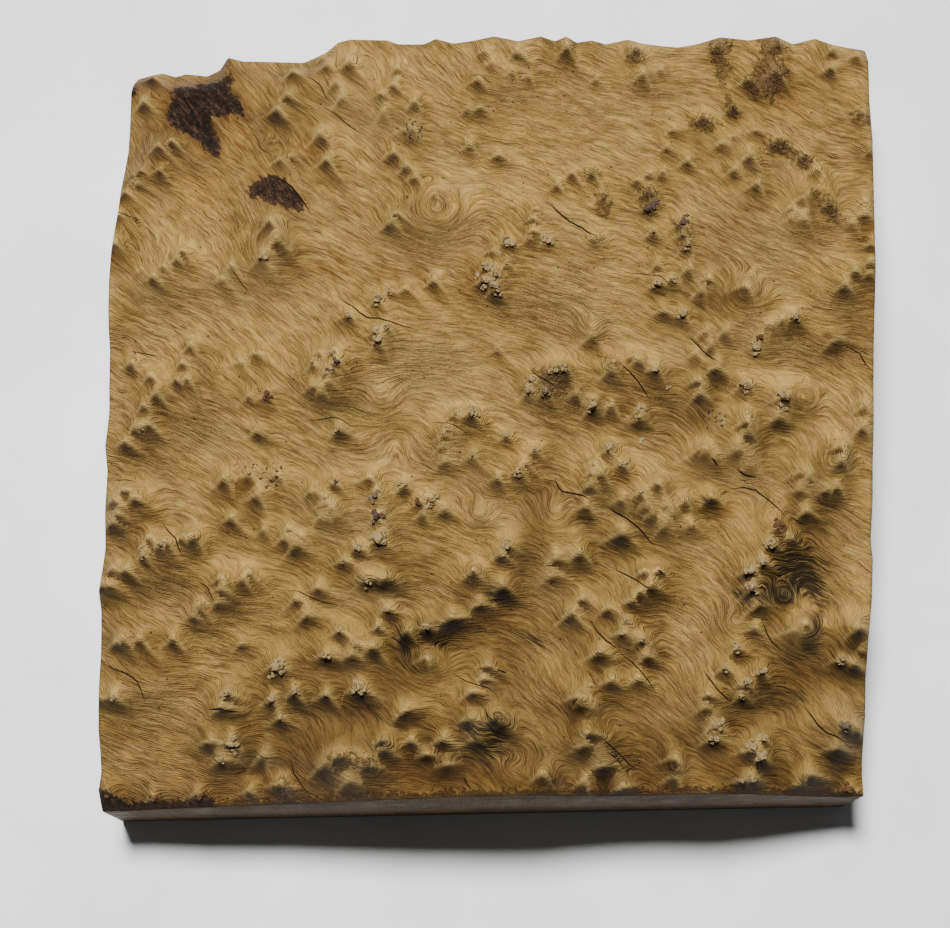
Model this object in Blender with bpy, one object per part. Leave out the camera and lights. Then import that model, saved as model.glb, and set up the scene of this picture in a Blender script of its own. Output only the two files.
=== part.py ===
# Mallee burl bowl blank: one sawn slab of burl, its natural knobbly skin left on the upper face.
# The blank is a single piece of wood, so it is modelled as one closed solid standing on its sawn base.
# Lengths are typed in millimetres and turned into metres when the mesh is made.

import math

import bmesh
import bpy
import numpy as np

MILLIMETRE = 0.001

# Plan of the blank: four straight saw cuts, not quite square to one another
NEAR_LEFT = (-102.0, -103.75)
NEAR_RIGHT = (94.5, -99.75)
FAR_RIGHT = (102.0, 103.75)
FAR_LEFT = (-102.0, 103.75)

# Broad dome of the burl: height above the base, near, middle and far, on three lines
LEFT_HEIGHTS = (36.0, 51.0, 34.0)
MIDDLE_HEIGHTS = (50.0, 54.0, 48.0)
RIGHT_HEIGHTS = (32.0, 51.0, 46.0)
HALF_WIDTH = 102.0
HALF_DEPTH = 103.75

# Height of the skin where each saw cut meets it: place along the cut, height
FAR_CUT = [
    (-102, 25), (-97, 28), (-94.5, 29), (-91, 26.5), (-88, 28.5), (-82, 27), (-78, 31), (-74.7, 39.5),
    (-71, 37), (-61, 36.5), (-54, 36), (-50.7, 39), (-47, 43), (-43.5, 49), (-40, 51), (-30, 50.5),
    (-27, 48), (-20, 48), (-16.5, 51.5), (-12, 48.5), (-7, 50), (-0.7, 53), (6, 50), (12, 53), (16, 50),
    (19, 53), (22, 49), (26, 50.5), (30, 48), (36, 51), (40, 48.5), (45, 47), (50, 46), (55, 48),
    (61, 52.5), (65, 51.5), (69, 50.5), (76, 53), (81.5, 48), (87, 51.5), (92, 48), (95, 46.5), (102, 44),
]
LEFT_CUT = [
    (-103.75, 33), (-99, 40), (-94, 37), (-89, 40), (-84, 44), (-74, 46), (-64, 45), (-54, 47), (-49.5, 52),
    (-43, 48), (-37, 45), (-28, 48), (-17, 47), (-11, 52), (-7, 50), (-1, 48), (4, 49.5), (15, 51), (19, 54),
    (24, 56), (32, 57), (41, 55.5), (48, 52), (55, 48), (62, 45), (70, 40), (77, 36), (84, 35), (95, 35.5),
    (99, 32), (103.75, 25),
]
RIGHT_CUT = [
    (-99.75, 33), (-95, 31), (-90, 31), (-80, 36), (-70, 37), (-60, 42), (-51, 47), (-41, 49), (-35, 46),
    (-25, 49.5), (-15, 50), (-5, 52), (6, 52), (17, 53), (27, 55), (37, 57), (44, 56), (60, 55), (73, 54),
    (86, 50), (98, 49), (103.75, 44),
]
NEAR_CUT = [
    (-102, 33), (-95, 33), (-80, 38), (-67, 40), (-59, 41), (-39, 46.5), (-27, 50), (-15, 52), (-6, 54),
    (7, 54), (17, 50), (28, 47), (39, 46.5), (53, 48.5), (65, 44), (78, 36), (90, 30), (94.5, 33),
]
CUT_REACH = 11.0

# Swells the knobs stand on: centre across, centre away, half width, half depth, rise
SWELLS = [
    # smooth domes in the middle and far half
    (14, 38, 19, 20, 4.5), (62, 48, 19, 19, 4.0), (-19, 50, 11, 9, 2.6), (-24, 17, 16, 13, 3.6),
    (-42, 7, 10, 9, 3.2), (-82, 1, 16, 12, 3.4), (-85, 35, 13, 10, 2.8), (-60, 42, 11, 12, 3.2),
    (-51, 63, 13, 13, 2.6), (-94, 70, 12, 10, 2.4), (-46, 90, 14, 12, 2.8), (-26, 88, 9, 10, 2.2),
    (0, 92, 11, 9, 2.0), (38, 94, 10, 9, 1.8), (75, 94, 10, 9, 1.8), (60, 74, 13, 8, 1.6),
    (86, 52, 10, 10, 2.2), (91, 33, 9, 9, 2.4), (68, 23, 11, 9, 2.6), (72, 3, 9, 7, 2.4),
    # crowded swells of the near half
    (-93, -28, 10, 8, 2.8), (-87, -43, 12, 8, 2.8), (-69, -49, 9, 7, 2.6), (-40, -28, 11, 9, 3.0),
    (-10, -10, 11, 9, 3.2), (2, -20, 9, 8, 2.4), (15, 5, 11, 7, 3.0), (35, 6, 11, 9, 3.0),
    (27, -21, 10, 10, 3.2), (42, -26, 10, 9, 3.0), (59, -9, 10, 9, 3.2), (86, -15, 8, 9, 2.4),
    (67, -42, 10, 10, 3.2), (75, -58, 7, 7, 2.6), (57, -76, 11, 10, 3.0), (86, -82, 10, 7, 2.6),
    (89, -60, 8, 6, 2.0), (-4, -82, 14, 8, 3.0), (-38, -91, 13, 9, 3.2), (-51, -73, 11, 8, 2.8),
    (-69, -83, 9, 9, 2.6), (-91, -72, 12, 9, 2.8), (-94, -58, 10, 6, 2.2), (19, -74, 13, 8, 2.8),
    (22, -88, 13, 6, 2.2), (31, -60, 10, 8, 2.8), (13, -38, 11, 6, 2.6), (-5, -47, 10, 5, 2.2),
    (-31, -45, 11, 6, 2.4), (-41, -64, 11, 6, 2.4), (62, -92, 9, 6, 2.4), (36, -49, 10, 6, 2.2),
    (63, -22, 12, 7, -1.6), (-17, -64, 6, 4, -3.4), (-60, -94, 6, 3, -2.0), (9, -53, 9, 5, -1.4),
    (-82, 84, 8, 8, -1.6), (26, 17, 7, 5, -1.8), (80, 10, 9, 6, -1.6), (83, -30, 7, 7, -1.4),
    (48, -8, 6, 8, -1.6), (-24, 33, 9, 5, -1.2), (-4, 45, 6, 8, -1.8), (70, -79, 9, 4, -2.0),
]

# Share of each rise the swells stand up by, and how far the whole skin drops to make up for it
SWELL_SHARE = 1.3
SWELL_DROP = 1.0

# Knobs: head across, head away, half width, rise, heading of the fluted tail in degrees, tail length
KNOBS = [
    # far left corner
    (-98.0, 91.0, 3.2, 3.0, -50, 7), (-96.5, 100.5, 3.4, 2.4, -50, 8), (-88.5, 76.2, 2.6, 2.2, -50, 9),
    (-92.3, 74.6, 2.6, 2.2, -48, 11), (-96.5, 67.5, 2.2, 2.0, -45, 6), (-99.0, 66.8, 1.8, 1.3, -45, 3),
    (-91.2, 66.6, 2.4, 2.2, -50, 7), (-99.0, 64.0, 1.8, 1.4, -45, 4), (-97.0, 63.3, 2.0, 1.8, -35, 5),
    (-100.5, 61.0, 2.8, 2.4, -45, 8), (-102.3, 54.0, 2.8, 2.4, -40, 6), (-60.0, 84.5, 3.2, 3.0, -50, 9),
    (-58.5, 68.6, 2.6, 2.4, -50, 9), (-55.2, 69.5, 2.4, 2.0, -45, 6), (-56.3, 97.3, 3.2, 2.6, -45, 9),
    (-57.5, 88.7, 3.0, 2.4, -40, 8), (-86.0, 92.0, 4.0, 1.6, -55, 8), (-80.0, 86.0, 4.4, 1.6, -55, 9),
    # far side, left of the middle
    (-48.5, 101.7, 2.0, 1.5, -60, 3), (-46.5, 97.3, 2.6, 2.0, -55, 5), (-40.0, 96.3, 4.4, 3.6, -50, 9),
    (-44.0, 91.0, 3.2, 2.4, -45, 6), (-42.0, 86.3, 3.6, 3.0, -45, 8), (-27.0, 95.6, 2.8, 2.0, -50, 5),
    (-27.3, 92.0, 1.8, 1.4, -60, 3), (-28.0, 89.8, 2.8, 2.6, -50, 5), (-31.7, 87.5, 2.6, 2.2, -30, 5),
    (-30.7, 82.3, 3.0, 3.0, -60, 4), (-22.3, 84.7, 3.0, 3.0, -55, 5), (-47.7, 75.8, 4.2, 4.4, -55, 7),
    (-45.8, 67.6, 3.2, 3.4, -55, 12), (-28.0, 70.6, 3.2, 3.0, -45, 5), (-24.5, 66.6, 2.6, 2.4, -35, 5),
    (-21.8, 63.3, 2.6, 2.6, -60, 4), (-7.6, 72.7, 3.0, 2.8, -55, 5), (-16.6, 57.6, 2.0, 2.0, -60, 4),
    (-1.5, 96.0, 2.2, 1.6, -50, 4), (-5.0, 91.5, 3.0, 2.2, -60, 5), (-4.5, 83.8, 3.0, 1.8, -40, 5),
    (-8.0, 83.7, 2.6, 1.6, -60, 4), (-23.0, 78.0, 4.6, 2.4, -60, 6), (-3.5, 99.5, 2.0, 1.3, -50, 3),
    # far side, right of the middle
    (0.3, 69.4, 3.2, 3.0, -35, 6), (5.5, 99.6, 3.0, 2.4, -45, 8), (18.8, 100.0, 3.0, 3.0, -50, 7),
    (4.6, 93.5, 2.6, 2.2, -75, 4), (9.0, 92.6, 2.6, 1.8, -70, 4), (39.6, 91.6, 3.4, 3.6, -60, 7),
    (44.8, 94.2, 2.2, 2.0, -65, 4), (38.0, 99.5, 3.0, 3.0, -80, 6), (27.0, 92.0, 2.6, 1.8, -50, 5),
    (47.0, 76.3, 2.6, 1.8, -10, 5), (45.5, 71.5, 2.6, 2.0, -40, 6), (51.0, 66.8, 2.6, 2.6, -50, 6),
    (40.5, 63.6, 2.6, 2.4, -50, 4), (44.3, 63.8, 2.4, 2.4, -60, 4), (37.5, 61.7, 2.2, 1.8, -40, 4),
    (20.0, 63.8, 2.6, 2.6, -60, 10), (25.5, 64.2, 2.6, 3.0, -65, 9), (16.0, 60.2, 2.6, 2.0, -60, 6),
    (23.6, 65.2, 2.0, 1.6, -60, 4), (40.5, 58.0, 3.0, 3.2, -45, 4), (28.0, 56.5, 3.0, 1.8, -50, 5),
    # far right corner
    (92.0, 101.2, 3.4, 3.4, -60, 6), (91.3, 95.8, 3.0, 3.0, -60, 5), (98.4, 99.6, 2.2, 2.2, -60, 5),
    (55.6, 79.6, 4.0, 3.0, -50, 6), (60.0, 71.8, 3.4, 1.8, -30, 5), (63.8, 74.0, 2.6, 1.6, -40, 4),
    (67.2, 67.6, 4.0, 4.0, -55, 8), (63.2, 63.8, 2.8, 2.8, -50, 4), (69.0, 59.3, 3.0, 3.4, -70, 7),
    (69.8, 76.2, 3.2, 1.8, -30, 4), (76.0, 73.0, 3.4, 2.6, -30, 6), (82.0, 68.6, 3.4, 2.6, -35, 5),
    (85.8, 64.8, 3.0, 2.6, -60, 8), (80.6, 54.8, 2.8, 3.0, -65, 5), (97.3, 54.5, 3.0, 2.0, -40, 4),
    (60.5, 101.0, 4.0, 3.2, -70, 6), (64.0, 82.5, 3.2, 2.6, -60, 5), (75.5, 93.5, 4.6, 2.8, -55, 8),
    (68.5, 91.3, 3.2, 2.6, -50, 7), (76.5, 101.0, 3.0, 2.4, -60, 4), (98.5, 81.5, 3.0, 2.2, -90, 4),
    (100.3, 70.0, 2.6, 2.0, -80, 3), (84.5, 58.0, 2.6, 1.8, -40, 5),
    # left side, away from the middle
    (-102.3, 44.3, 4.0, 3.6, -50, 9), (-94.0, 36.5, 1.8, 1.4, -80, 3), (-85.0, 39.4, 2.6, 2.6, -50, 5),
    (-83.3, 41.4, 3.0, 3.2, -50, 6), (-88.3, 37.2, 2.2, 2.0, -50, 5), (-90.8, 34.3, 2.8, 2.8, -50, 6),
    (-70.5, 37.4, 2.6, 2.4, -52, 9), (-72.6, 33.8, 2.6, 2.4, -48, 7), (-60.3, 49.3, 4.4, 4.2, -60, 6),
    (-58.0, 43.0, 4.2, 4.4, -45, 7), (-62.0, 38.3, 4.8, 4.8, -60, 8), (-95.7, 10.6, 3.0, 3.2, -55, 5),
    (-80.3, 15.6, 3.0, 2.8, -60, 6), (-82.2, 10.3, 2.6, 2.2, -50, 5), (-90.5, 6.8, 3.0, 2.4, -50, 8),
    (-83.2, 5.2, 2.4, 2.2, -55, 7), (-80.6, 5.5, 2.2, 2.0, -60, 7), (-88.6, 1.6, 3.0, 2.8, -50, 7),
    (-60.0, 2.2, 4.0, 2.2, -60, 6), (-64.5, 1.6, 2.6, 1.8, -60, 5), (-67.0, 11.0, 3.2, 1.4, -60, 7),
    (-63.5, 13.5, 4.0, 1.4, -40, 6),
    # middle, left half
    (-26.8, 51.3, 3.0, 2.8, -40, 7), (-28.6, 49.0, 3.2, 3.4, -45, 6), (-16.7, 33.2, 3.4, 3.4, -55, 8),
    (-31.6, 27.6, 3.0, 2.8, -55, 6), (-28.3, 30.2, 2.6, 2.2, -30, 5), (-24.2, 31.3, 2.8, 2.4, -50, 9),
    (-39.0, 23.2, 3.0, 3.2, -55, 5), (-31.3, 17.6, 3.0, 2.8, -50, 5), (-28.8, 18.6, 2.8, 2.2, -50, 5),
    (-31.0, 14.9, 2.8, 3.0, -60, 6), (-3.0, 36.0, 3.0, 2.6, -40, 5), (-3.6, 32.2, 3.0, 3.0, -40, 5),
    (-0.7, 33.5, 2.6, 2.4, -40, 5), (-0.5, 29.6, 2.8, 3.2, -50, 6), (-46.5, 12.5, 2.6, 2.4, -60, 5),
    (-42.5, 12.8, 3.0, 2.2, -60, 4), (-48.0, 9.4, 2.8, 2.4, -50, 5), (-41.7, 8.9, 2.8, 2.8, -40, 5),
    (-44.2, 6.2, 2.4, 2.4, -40, 5), (-42.3, 6.6, 2.2, 2.0, -40, 4), (-43.8, 3.8, 2.6, 2.8, -35, 6),
    (-48.0, 3.4, 3.0, 3.0, -30, 7), (-46.0, 1.5, 2.6, 2.4, -30, 5), (0.0, 14.0, 2.6, 1.8, -45, 5),
    # middle, right half
    (10.2, 52.3, 2.2, 2.0, -35, 5), (9.3, 49.2, 2.4, 2.4, -38, 6), (9.0, 45.3, 2.6, 2.2, -25, 7),
    (2.2, 43.0, 3.0, 2.2, -30, 5), (8.6, 43.4, 2.4, 1.4, -40, 4), (13.6, 42.3, 2.6, 1.8, -40, 4),
    (25.4, 43.3, 3.0, 3.2, -55, 5), (2.5, 36.5, 2.4, 1.8, -50, 4), (-1.5, 41.2, 2.6, 1.8, -50, 4),
    (40.6, 53.5, 2.8, 3.0, -50, 4), (41.2, 46.2, 2.4, 2.8, -50, 5), (48.8, 48.0, 3.2, 3.2, -80, 4),
    (49.8, 41.8, 2.8, 3.2, -60, 4), (49.0, 44.6, 2.6, 2.4, -60, 3), (42.2, 37.4, 3.0, 2.6, -60, 4),
    (50.5, 35.7, 2.8, 3.2, -70, 4), (41.8, 32.0, 3.0, 2.8, -20, 6), (45.8, 33.2, 2.4, 1.8, -40, 4),
    (48.6, 23.6, 3.0, 3.2, -60, 5), (43.5, 24.6, 3.4, 2.4, -30, 6), (29.5, 9.0, 3.0, 3.4, -60, 3),
    (29.0, 6.6, 3.4, 3.4, -40, 4), (35.0, 11.2, 2.4, 1.6, -40, 4), (36.8, 10.0, 2.8, 2.4, -60, 5),
    (41.0, 7.6, 3.2, 3.0, -60, 6), (25.0, 18.0, 4.6, 2.4, -60, 6), (14.5, 7.3, 3.4, 2.8, -20, 5),
    (17.5, 7.8, 2.8, 3.0, -60, 5), (8.8, 4.6, 2.6, 2.6, -60, 4), (8.0, 2.0, 2.6, 2.4, -60, 4),
    (12.2, 1.3, 2.8, 3.2, -50, 5), (20.4, 1.2, 2.6, 2.6, -60, 4), (24.6, -0.8, 2.8, 2.4, -60, 4),
    (51.5, 13.0, 2.6, 2.2, -50, 4), (52.0, 5.4, 3.0, 3.2, -40, 5), (52.3, 2.0, 3.0, 3.2, -40, 5),
    # right side, away from the middle
    (55.3, 32.8, 3.0, 3.0, -50, 4), (53.8, 30.0, 3.0, 3.2, -80, 4), (65.0, 30.5, 4.5, 3.4, -70, 5),
    (54.4, 19.0, 2.6, 2.6, -70, 4), (59.4, 18.4, 2.8, 3.2, -50, 5), (55.8, 14.9, 2.6, 2.8, -50, 4),
    (70.2, 20.0, 2.2, 2.4, -60, 4), (72.2, 20.0, 2.0, 2.2, -60, 4), (74.4, 21.6, 2.2, 2.4, -60, 4),
    (77.6, 22.6, 3.2, 3.4, -40, 4), (68.5, 16.8, 3.0, 3.2, -50, 4), (67.2, 14.6, 3.0, 2.0, -40, 5),
    (64.4, 4.3, 3.4, 3.2, -60, 4), (73.8, 0.3, 3.8, 4.0, -50, 5), (77.5, 52.0, 2.6, 2.4, -50, 4),
    (77.6, 49.2, 2.8, 2.8, -60, 5), (81.2, 49.0, 3.0, 3.0, -60, 6), (88.0, 54.0, 4.0, 2.6, -45, 6),
    (97.0, 51.0, 3.4, 3.2, -40, 5), (94.0, 48.7, 2.6, 2.0, -60, 4), (99.5, 43.3, 2.8, 3.2, -80, 4),
    (98.3, 37.4, 2.6, 2.6, -60, 4), (94.0, 34.6, 2.8, 3.2, -50, 4), (91.0, 31.0, 2.8, 3.2, -50, 4),
    (98.0, 34.0, 2.0, 2.0, -60, 3), (57.0, 9.0, 4.0, 3.6, -40, 5), (89.0, 17.5, 5.0, 1.6, -20, 6),
    # left side, nearer than the middle
    (-92.0, -1.3, 2.4, 2.0, -45, 6), (-94.4, -7.0, 2.4, 2.4, -45, 6), (-92.6, -6.6, 2.2, 2.0, -50, 7),
    (-90.4, -6.3, 2.6, 2.6, -45, 8), (-96.6, -10.8, 2.6, 2.8, -30, 8), (-96.3, -23.4, 2.6, 2.8, -30, 7),
    (-99.4, -25.6, 2.8, 2.8, -35, 7), (-93.0, -26.0, 3.2, 2.4, -35, 6), (-98.0, -29.4, 2.6, 2.4, -30, 5),
    (-100.0, -31.2, 2.8, 2.6, -30, 6), (-89.0, -36.2, 2.8, 3.0, -60, 8), (-90.8, -38.8, 2.4, 2.4, -50, 5),
    (-90.8, -40.8, 2.4, 2.4, -50, 6), (-86.0, -38.2, 2.8, 2.6, -60, 6), (-84.5, -37.4, 2.6, 2.6, -60, 8),
    (-80.5, -36.0, 2.8, 3.2, -65, 6), (-77.6, -36.3, 3.6, 4.2, -60, 6), (-70.6, -20.8, 3.4, 4.0, -60, 6),
    (-68.5, -31.0, 3.0, 3.4, -45, 6), (-61.5, -25.3, 4.0, 3.6, -70, 6), (-62.3, -8.0, 2.8, 2.8, -30, 7),
    (-60.0, -33.8, 2.4, 2.2, -60, 5), (-54.8, -36.4, 2.6, 2.8, -40, 6), (-54.0, -33.7, 2.4, 2.0, -30, 5),
    (-99.0, -43.6, 2.8, 2.6, -40, 6), (-95.0, -44.2, 3.0, 3.0, -45, 7), (-101.5, -48.0, 3.0, 3.0, -30, 7),
    (-99.0, -48.2, 2.4, 2.2, -30, 7), (-70.4, -47.0, 2.6, 2.8, -60, 6), (-65.0, -47.2, 2.6, 2.8, -55, 6),
    (-63.4, -45.5, 2.6, 2.8, -45, 7), (-70.5, -49.8, 2.4, 2.4, -30, 6), (-71.5, -52.9, 2.4, 2.4, -10, 5),
    (-51.5, -52.0, 3.0, 3.0, -30, 6), (-64.0, -19.5, 5.0, 2.0, -60, 6), (-57.0, -19.5, 4.0, 1.8, -60, 5),
    (-76.0, -53.6, 2.4, 2.2, -50, 5),
    # middle, nearer, left half
    (-41.2, -7.6, 3.2, 3.2, -30, 8), (-41.8, -22.3, 2.8, 2.4, -50, 6), (-48.2, -24.4, 2.8, 2.0, -30, 8),
    (-44.8, -26.2, 2.4, 1.8, -30, 7), (-45.0, -28.3, 2.4, 2.0, -20, 6), (-42.7, -29.6, 2.2, 1.6, -30, 5),
    (-45.4, -31.5, 2.8, 2.6, -25, 8), (-41.5, -31.3, 2.2, 1.6, -20, 5), (-33.0, -20.8, 3.4, 2.6, -50, 8),
    (-31.3, -26.0, 3.2, 3.0, -45, 6), (-30.8, -31.6, 3.4, 3.2, -50, 6), (-30.3, -37.2, 4.2, 4.0, -40, 6),
    (-24.3, -23.0, 3.4, 3.4, -30, 4), (-11.0, -4.9, 2.8, 3.0, -60, 4), (-6.8, -4.8, 3.6, 4.0, -50, 6),
    (-13.0, -8.9, 2.6, 2.8, -30, 5), (-14.0, -10.8, 2.6, 2.8, -25, 6), (-14.6, -13.2, 2.6, 2.4, -20, 7),
    (-13.8, -16.6, 3.0, 3.0, -20, 6), (-6.6, -15.8, 3.0, 3.0, -50, 5), (-20.0, -27.0, 3.4, 2.8, -50, 5),
    (-17.0, -26.0, 3.2, 2.8, -60, 4), (-19.2, -30.2, 2.4, 2.2, -60, 4), (-13.5, -29.0, 3.4, 3.0, -40, 5),
    (-35.6, -39.4, 3.4, 3.4, -30, 6), (-39.7, -42.6, 2.8, 3.0, -20, 6), (-34.0, -48.0, 4.4, 4.2, -12, 9),
    (-29.0, -48.3, 3.4, 3.2, -10, 6), (-46.0, -49.2, 3.2, 3.0, -25, 8), (-6.5, -45.8, 3.2, 4.0, -40, 5),
    (0.5, -41.3, 3.0, 3.8, -30, 6), (0.0, -21.3, 2.6, 2.6, -60, 4), (-50.0, -36.0, 2.6, 2.0, -50, 5),
    (-52.0, -38.5, 3.0, 3.0, -20, 6), (1.0, -49.5, 3.6, 4.2, -30, 5),
    # middle, nearer, right half
    (24.6, -2.2, 3.2, 3.6, -40, 5), (29.5, -1.4, 2.6, 2.4, -60, 6), (37.0, -3.4, 3.2, 2.6, -60, 4),
    (36.6, -5.2, 3.0, 3.2, -30, 4), (2.2, -10.0, 2.8, 3.0, -50, 4), (9.4, -13.6, 2.8, 2.6, -40, 5),
    (5.2, -19.6, 2.8, 2.6, -50, 5), (7.0, -17.0, 3.0, 2.0, -50, 8), (28.5, -13.6, 3.2, 3.8, -70, 4),
    (24.3, -17.7, 2.4, 2.4, -60, 3), (32.3, -18.2, 3.2, 3.4, -60, 4), (23.3, -20.4, 2.6, 3.0, -50, 4),
    (26.5, -20.6, 2.8, 3.2, -60, 5), (23.2, -23.5, 3.0, 3.4, -40, 4), (36.4, -25.8, 3.0, 3.2, -60, 4),
    (40.8, -23.0, 3.6, 4.0, -70, 5), (31.5, -27.2, 3.0, 3.6, -60, 4), (22.3, -28.8, 3.2, 3.8, -40, 5),
    (31.5, -35.4, 4.8, 4.4, -40, 5), (37.8, -28.8, 2.6, 2.4, -50, 4), (39.2, -30.8, 2.6, 2.6, -40, 4),
    (42.6, -33.4, 3.2, 3.6, -50, 4), (44.6, -30.6, 2.8, 3.0, -60, 4), (43.0, -28.4, 2.4, 2.0, -60, 4),
    (47.9, -27.4, 3.0, 3.6, -60, 4), (49.3, -33.2, 3.2, 3.8, -30, 5), (51.5, -14.0, 3.4, 3.8, -40, 5),
    (2.2, -38.8, 3.6, 3.6, -30, 5), (20.6, -41.0, 3.4, 4.0, -40, 5), (14.5, -42.4, 4.0, 3.6, -10, 7),
    (13.5, -46.4, 4.0, 3.6, -10, 6), (37.0, -45.2, 2.8, 2.8, -40, 5), (41.0, -44.7, 2.6, 2.4, -40, 5),
    (38.5, -49.3, 3.2, 3.8, -20, 6), (35.5, -51.0, 3.0, 3.4, -30, 5), (21.3, -52.0, 3.0, 3.6, -40, 5),
    (33.5, -53.0, 3.0, 3.2, -30, 5),
    # right side, nearer than the middle
    (64.5, -4.2, 3.2, 3.4, -50, 5), (63.5, -6.8, 3.0, 3.2, -40, 4), (64.3, -9.6, 3.2, 3.6, -40, 4),
    (72.5, -4.6, 3.6, 3.4, -20, 5), (61.3, -13.8, 4.0, 4.2, -30, 5), (65.0, -16.8, 4.8, 3.6, -40, 5),
    (53.0, -14.8, 4.0, 4.0, -40, 5), (56.0, -16.5, 2.6, 2.4, -30, 4), (95.6, -1.0, 2.8, 3.0, -70, 4),
    (94.6, -6.8, 3.4, 3.6, -60, 4), (88.2, -12.6, 2.6, 3.0, -60, 4), (89.8, -11.8, 2.2, 2.4, -70, 4),
    (88.6, -16.0, 3.0, 3.2, -60, 4), (78.0, -18.6, 3.4, 2.4, -40, 6), (78.0, -22.8, 3.4, 2.6, -40, 6),
    (80.0, -20.0, 2.4, 2.2, -50, 6), (84.8, -23.2, 2.8, 3.2, -50, 4), (87.6, -22.6, 2.8, 3.4, -50, 4),
    (79.5, -28.5, 3.4, 3.4, -25, 6), (71.5, -33.5, 3.6, 3.0, -40, 6), (69.5, -38.2, 3.4, 3.4, -30, 6),
    (67.0, -43.2, 3.0, 3.2, -20, 6), (63.5, -45.2, 3.0, 3.4, -20, 6), (64.5, -49.4, 3.6, 3.8, -30, 6),
    (54.5, -25.8, 4.4, 4.2, -30, 5), (75.5, -36.0, 3.0, 2.0, -40, 6), (73.0, -50.0, 3.4, 2.0, -40, 4),
    # near side, left of the middle
    (-97.3, -62.3, 2.8, 3.0, -45, 7), (-95.3, -61.9, 2.4, 2.6, -50, 8), (-91.3, -61.8, 2.6, 3.0, -50, 9),
    (-82.6, -61.8, 3.2, 3.8, -50, 6), (-77.4, -56.0, 3.0, 3.4, -40, 5), (-75.8, -54.3, 2.6, 3.0, -50, 6),
    (-98.0, -76.0, 3.4, 3.4, -40, 6), (-102.0, -75.8, 2.6, 2.6, -40, 5), (-68.5, -76.0, 3.6, 3.6, -20, 6),
    (-70.0, -79.6, 3.4, 3.4, -8, 8), (-57.0, -77.6, 3.2, 3.4, -60, 4), (-55.0, -82.0, 3.0, 2.8, -30, 5),
    (-56.0, -69.0, 4.0, 3.8, -30, 5), (-51.3, -76.0, 3.2, 3.6, -50, 5), (-73.3, -87.6, 3.0, 2.6, -15, 5),
    (-67.3, -87.6, 3.4, 3.2, -50, 5), (-70.0, -92.2, 3.6, 3.4, -10, 7), (-62.8, -99.3, 2.8, 2.6, -60, 3),
    (-55.0, -98.0, 4.4, 3.2, -30, 6), (-65.5, -63.0, 2.8, 2.0, -10, 5), (-49.0, -56.3, 3.4, 3.4, -8, 7),
    (-59.0, -91.2, 4.5, 3.4, -90, 3), (-28.0, -54.9, 3.4, 3.2, -15, 5), (-30.5, -59.2, 2.6, 3.0, -40, 5),
    (-40.0, -60.6, 3.2, 3.4, -40, 6), (-35.5, -64.0, 2.6, 2.8, -50, 6), (-43.5, -66.8, 3.4, 3.4, -20, 7),
    (-37.0, -66.6, 3.0, 3.2, -30, 6), (-31.5, -64.8, 3.4, 4.4, -50, 7), (-18.0, -59.2, 2.8, 2.8, -20, 4),
    (-12.0, -57.2, 4.6, 3.4, 0, 8), (-23.0, -60.3, 3.2, 3.4, -60, 4), (-18.0, -66.8, 3.2, 3.4, -90, 3),
    (-35.0, -75.0, 4.4, 4.0, -30, 7), (-43.2, -76.4, 3.2, 3.2, -50, 6), (-24.0, -80.8, 4.4, 3.6, 10, 6),
    (-28.5, -88.0, 3.6, 3.6, -40, 5), (-28.5, -90.3, 3.2, 3.0, -30, 5), (-22.0, -87.6, 2.8, 2.4, -40, 4),
    (-40.0, -92.0, 4.6, 3.4, -10, 6), (-43.5, -94.0, 4.4, 3.4, -50, 6), (-33.0, -94.0, 4.4, 3.0, -20, 6),
    (-37.0, -97.5, 4.0, 2.4, -30, 5), (-18.5, -91.2, 2.6, 2.4, -10, 4), (-14.0, -87.6, 3.4, 3.4, -30, 8),
    (-5.0, -88.0, 4.8, 4.2, -50, 7), (-1.0, -83.0, 4.0, 4.2, -40, 6), (-7.5, -83.0, 3.0, 3.0, -50, 6),
    (-13.0, -93.5, 4.0, 1.6, 0, 5), (-7.0, -76.0, 3.4, 2.8, -10, 6), (-4.0, -72.3, 2.8, 2.4, -20, 5),
    (-3.0, -69.0, 3.0, 3.4, -30, 6), (-4.8, -53.6, 3.4, 3.8, -10, 6), (-100.0, -100.0, 3.4, 2.4, -30, 6),
    (-88.5, -100.5, 3.0, 2.2, -60, 4), (-76.5, -100.0, 3.4, 2.6, -40, 5),
    # near side, right of the middle
    (18.3, -55.8, 3.8, 4.0, -50, 5), (27.5, -54.8, 3.0, 3.0, -30, 5), (32.5, -58.4, 2.6, 2.8, -50, 3),
    (31.3, -61.3, 3.2, 3.4, -40, 5), (36.0, -62.6, 3.0, 3.2, -30, 5), (25.3, -66.2, 4.0, 4.2, -20, 5),
    (37.5, -66.6, 3.2, 3.4, -20, 5), (28.5, -72.8, 3.4, 3.4, -40, 5), (35.0, -72.3, 3.2, 3.4, -30, 5),
    (23.0, -74.2, 1.6, 1.2, -20, 3), (19.5, -77.3, 4.0, 3.2, -15, 7), (20.0, -79.4, 3.4, 3.0, -10, 6),
    (22.0, -86.4, 3.6, 3.4, -10, 7), (21.0, -89.2, 3.4, 3.2, -10, 6), (26.0, -93.8, 5.0, 3.2, 0, 6),
    (44.5, -92.0, 3.6, 3.4, -70, 6), (44.0, -96.5, 3.0, 2.4, -60, 4), (11.0, -96.0, 3.6, 2.6, -60, 4),
    (21.5, -97.5, 3.4, 2.8, -80, 4), (31.0, -99.0, 4.5, 2.8, 0, 4), (0.5, -84.5, 3.4, 3.4, -30, 5),
    (52.5, -76.5, 3.4, 3.4, -20, 5), (51.5, -79.6, 3.0, 3.0, -10, 5), (75.0, -60.0, 4.6, 3.8, -50, 5),
    (78.5, -58.0, 3.6, 2.8, -60, 5), (60.5, -64.4, 3.4, 3.6, -20, 5), (57.3, -69.4, 3.0, 3.0, -40, 4),
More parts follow.
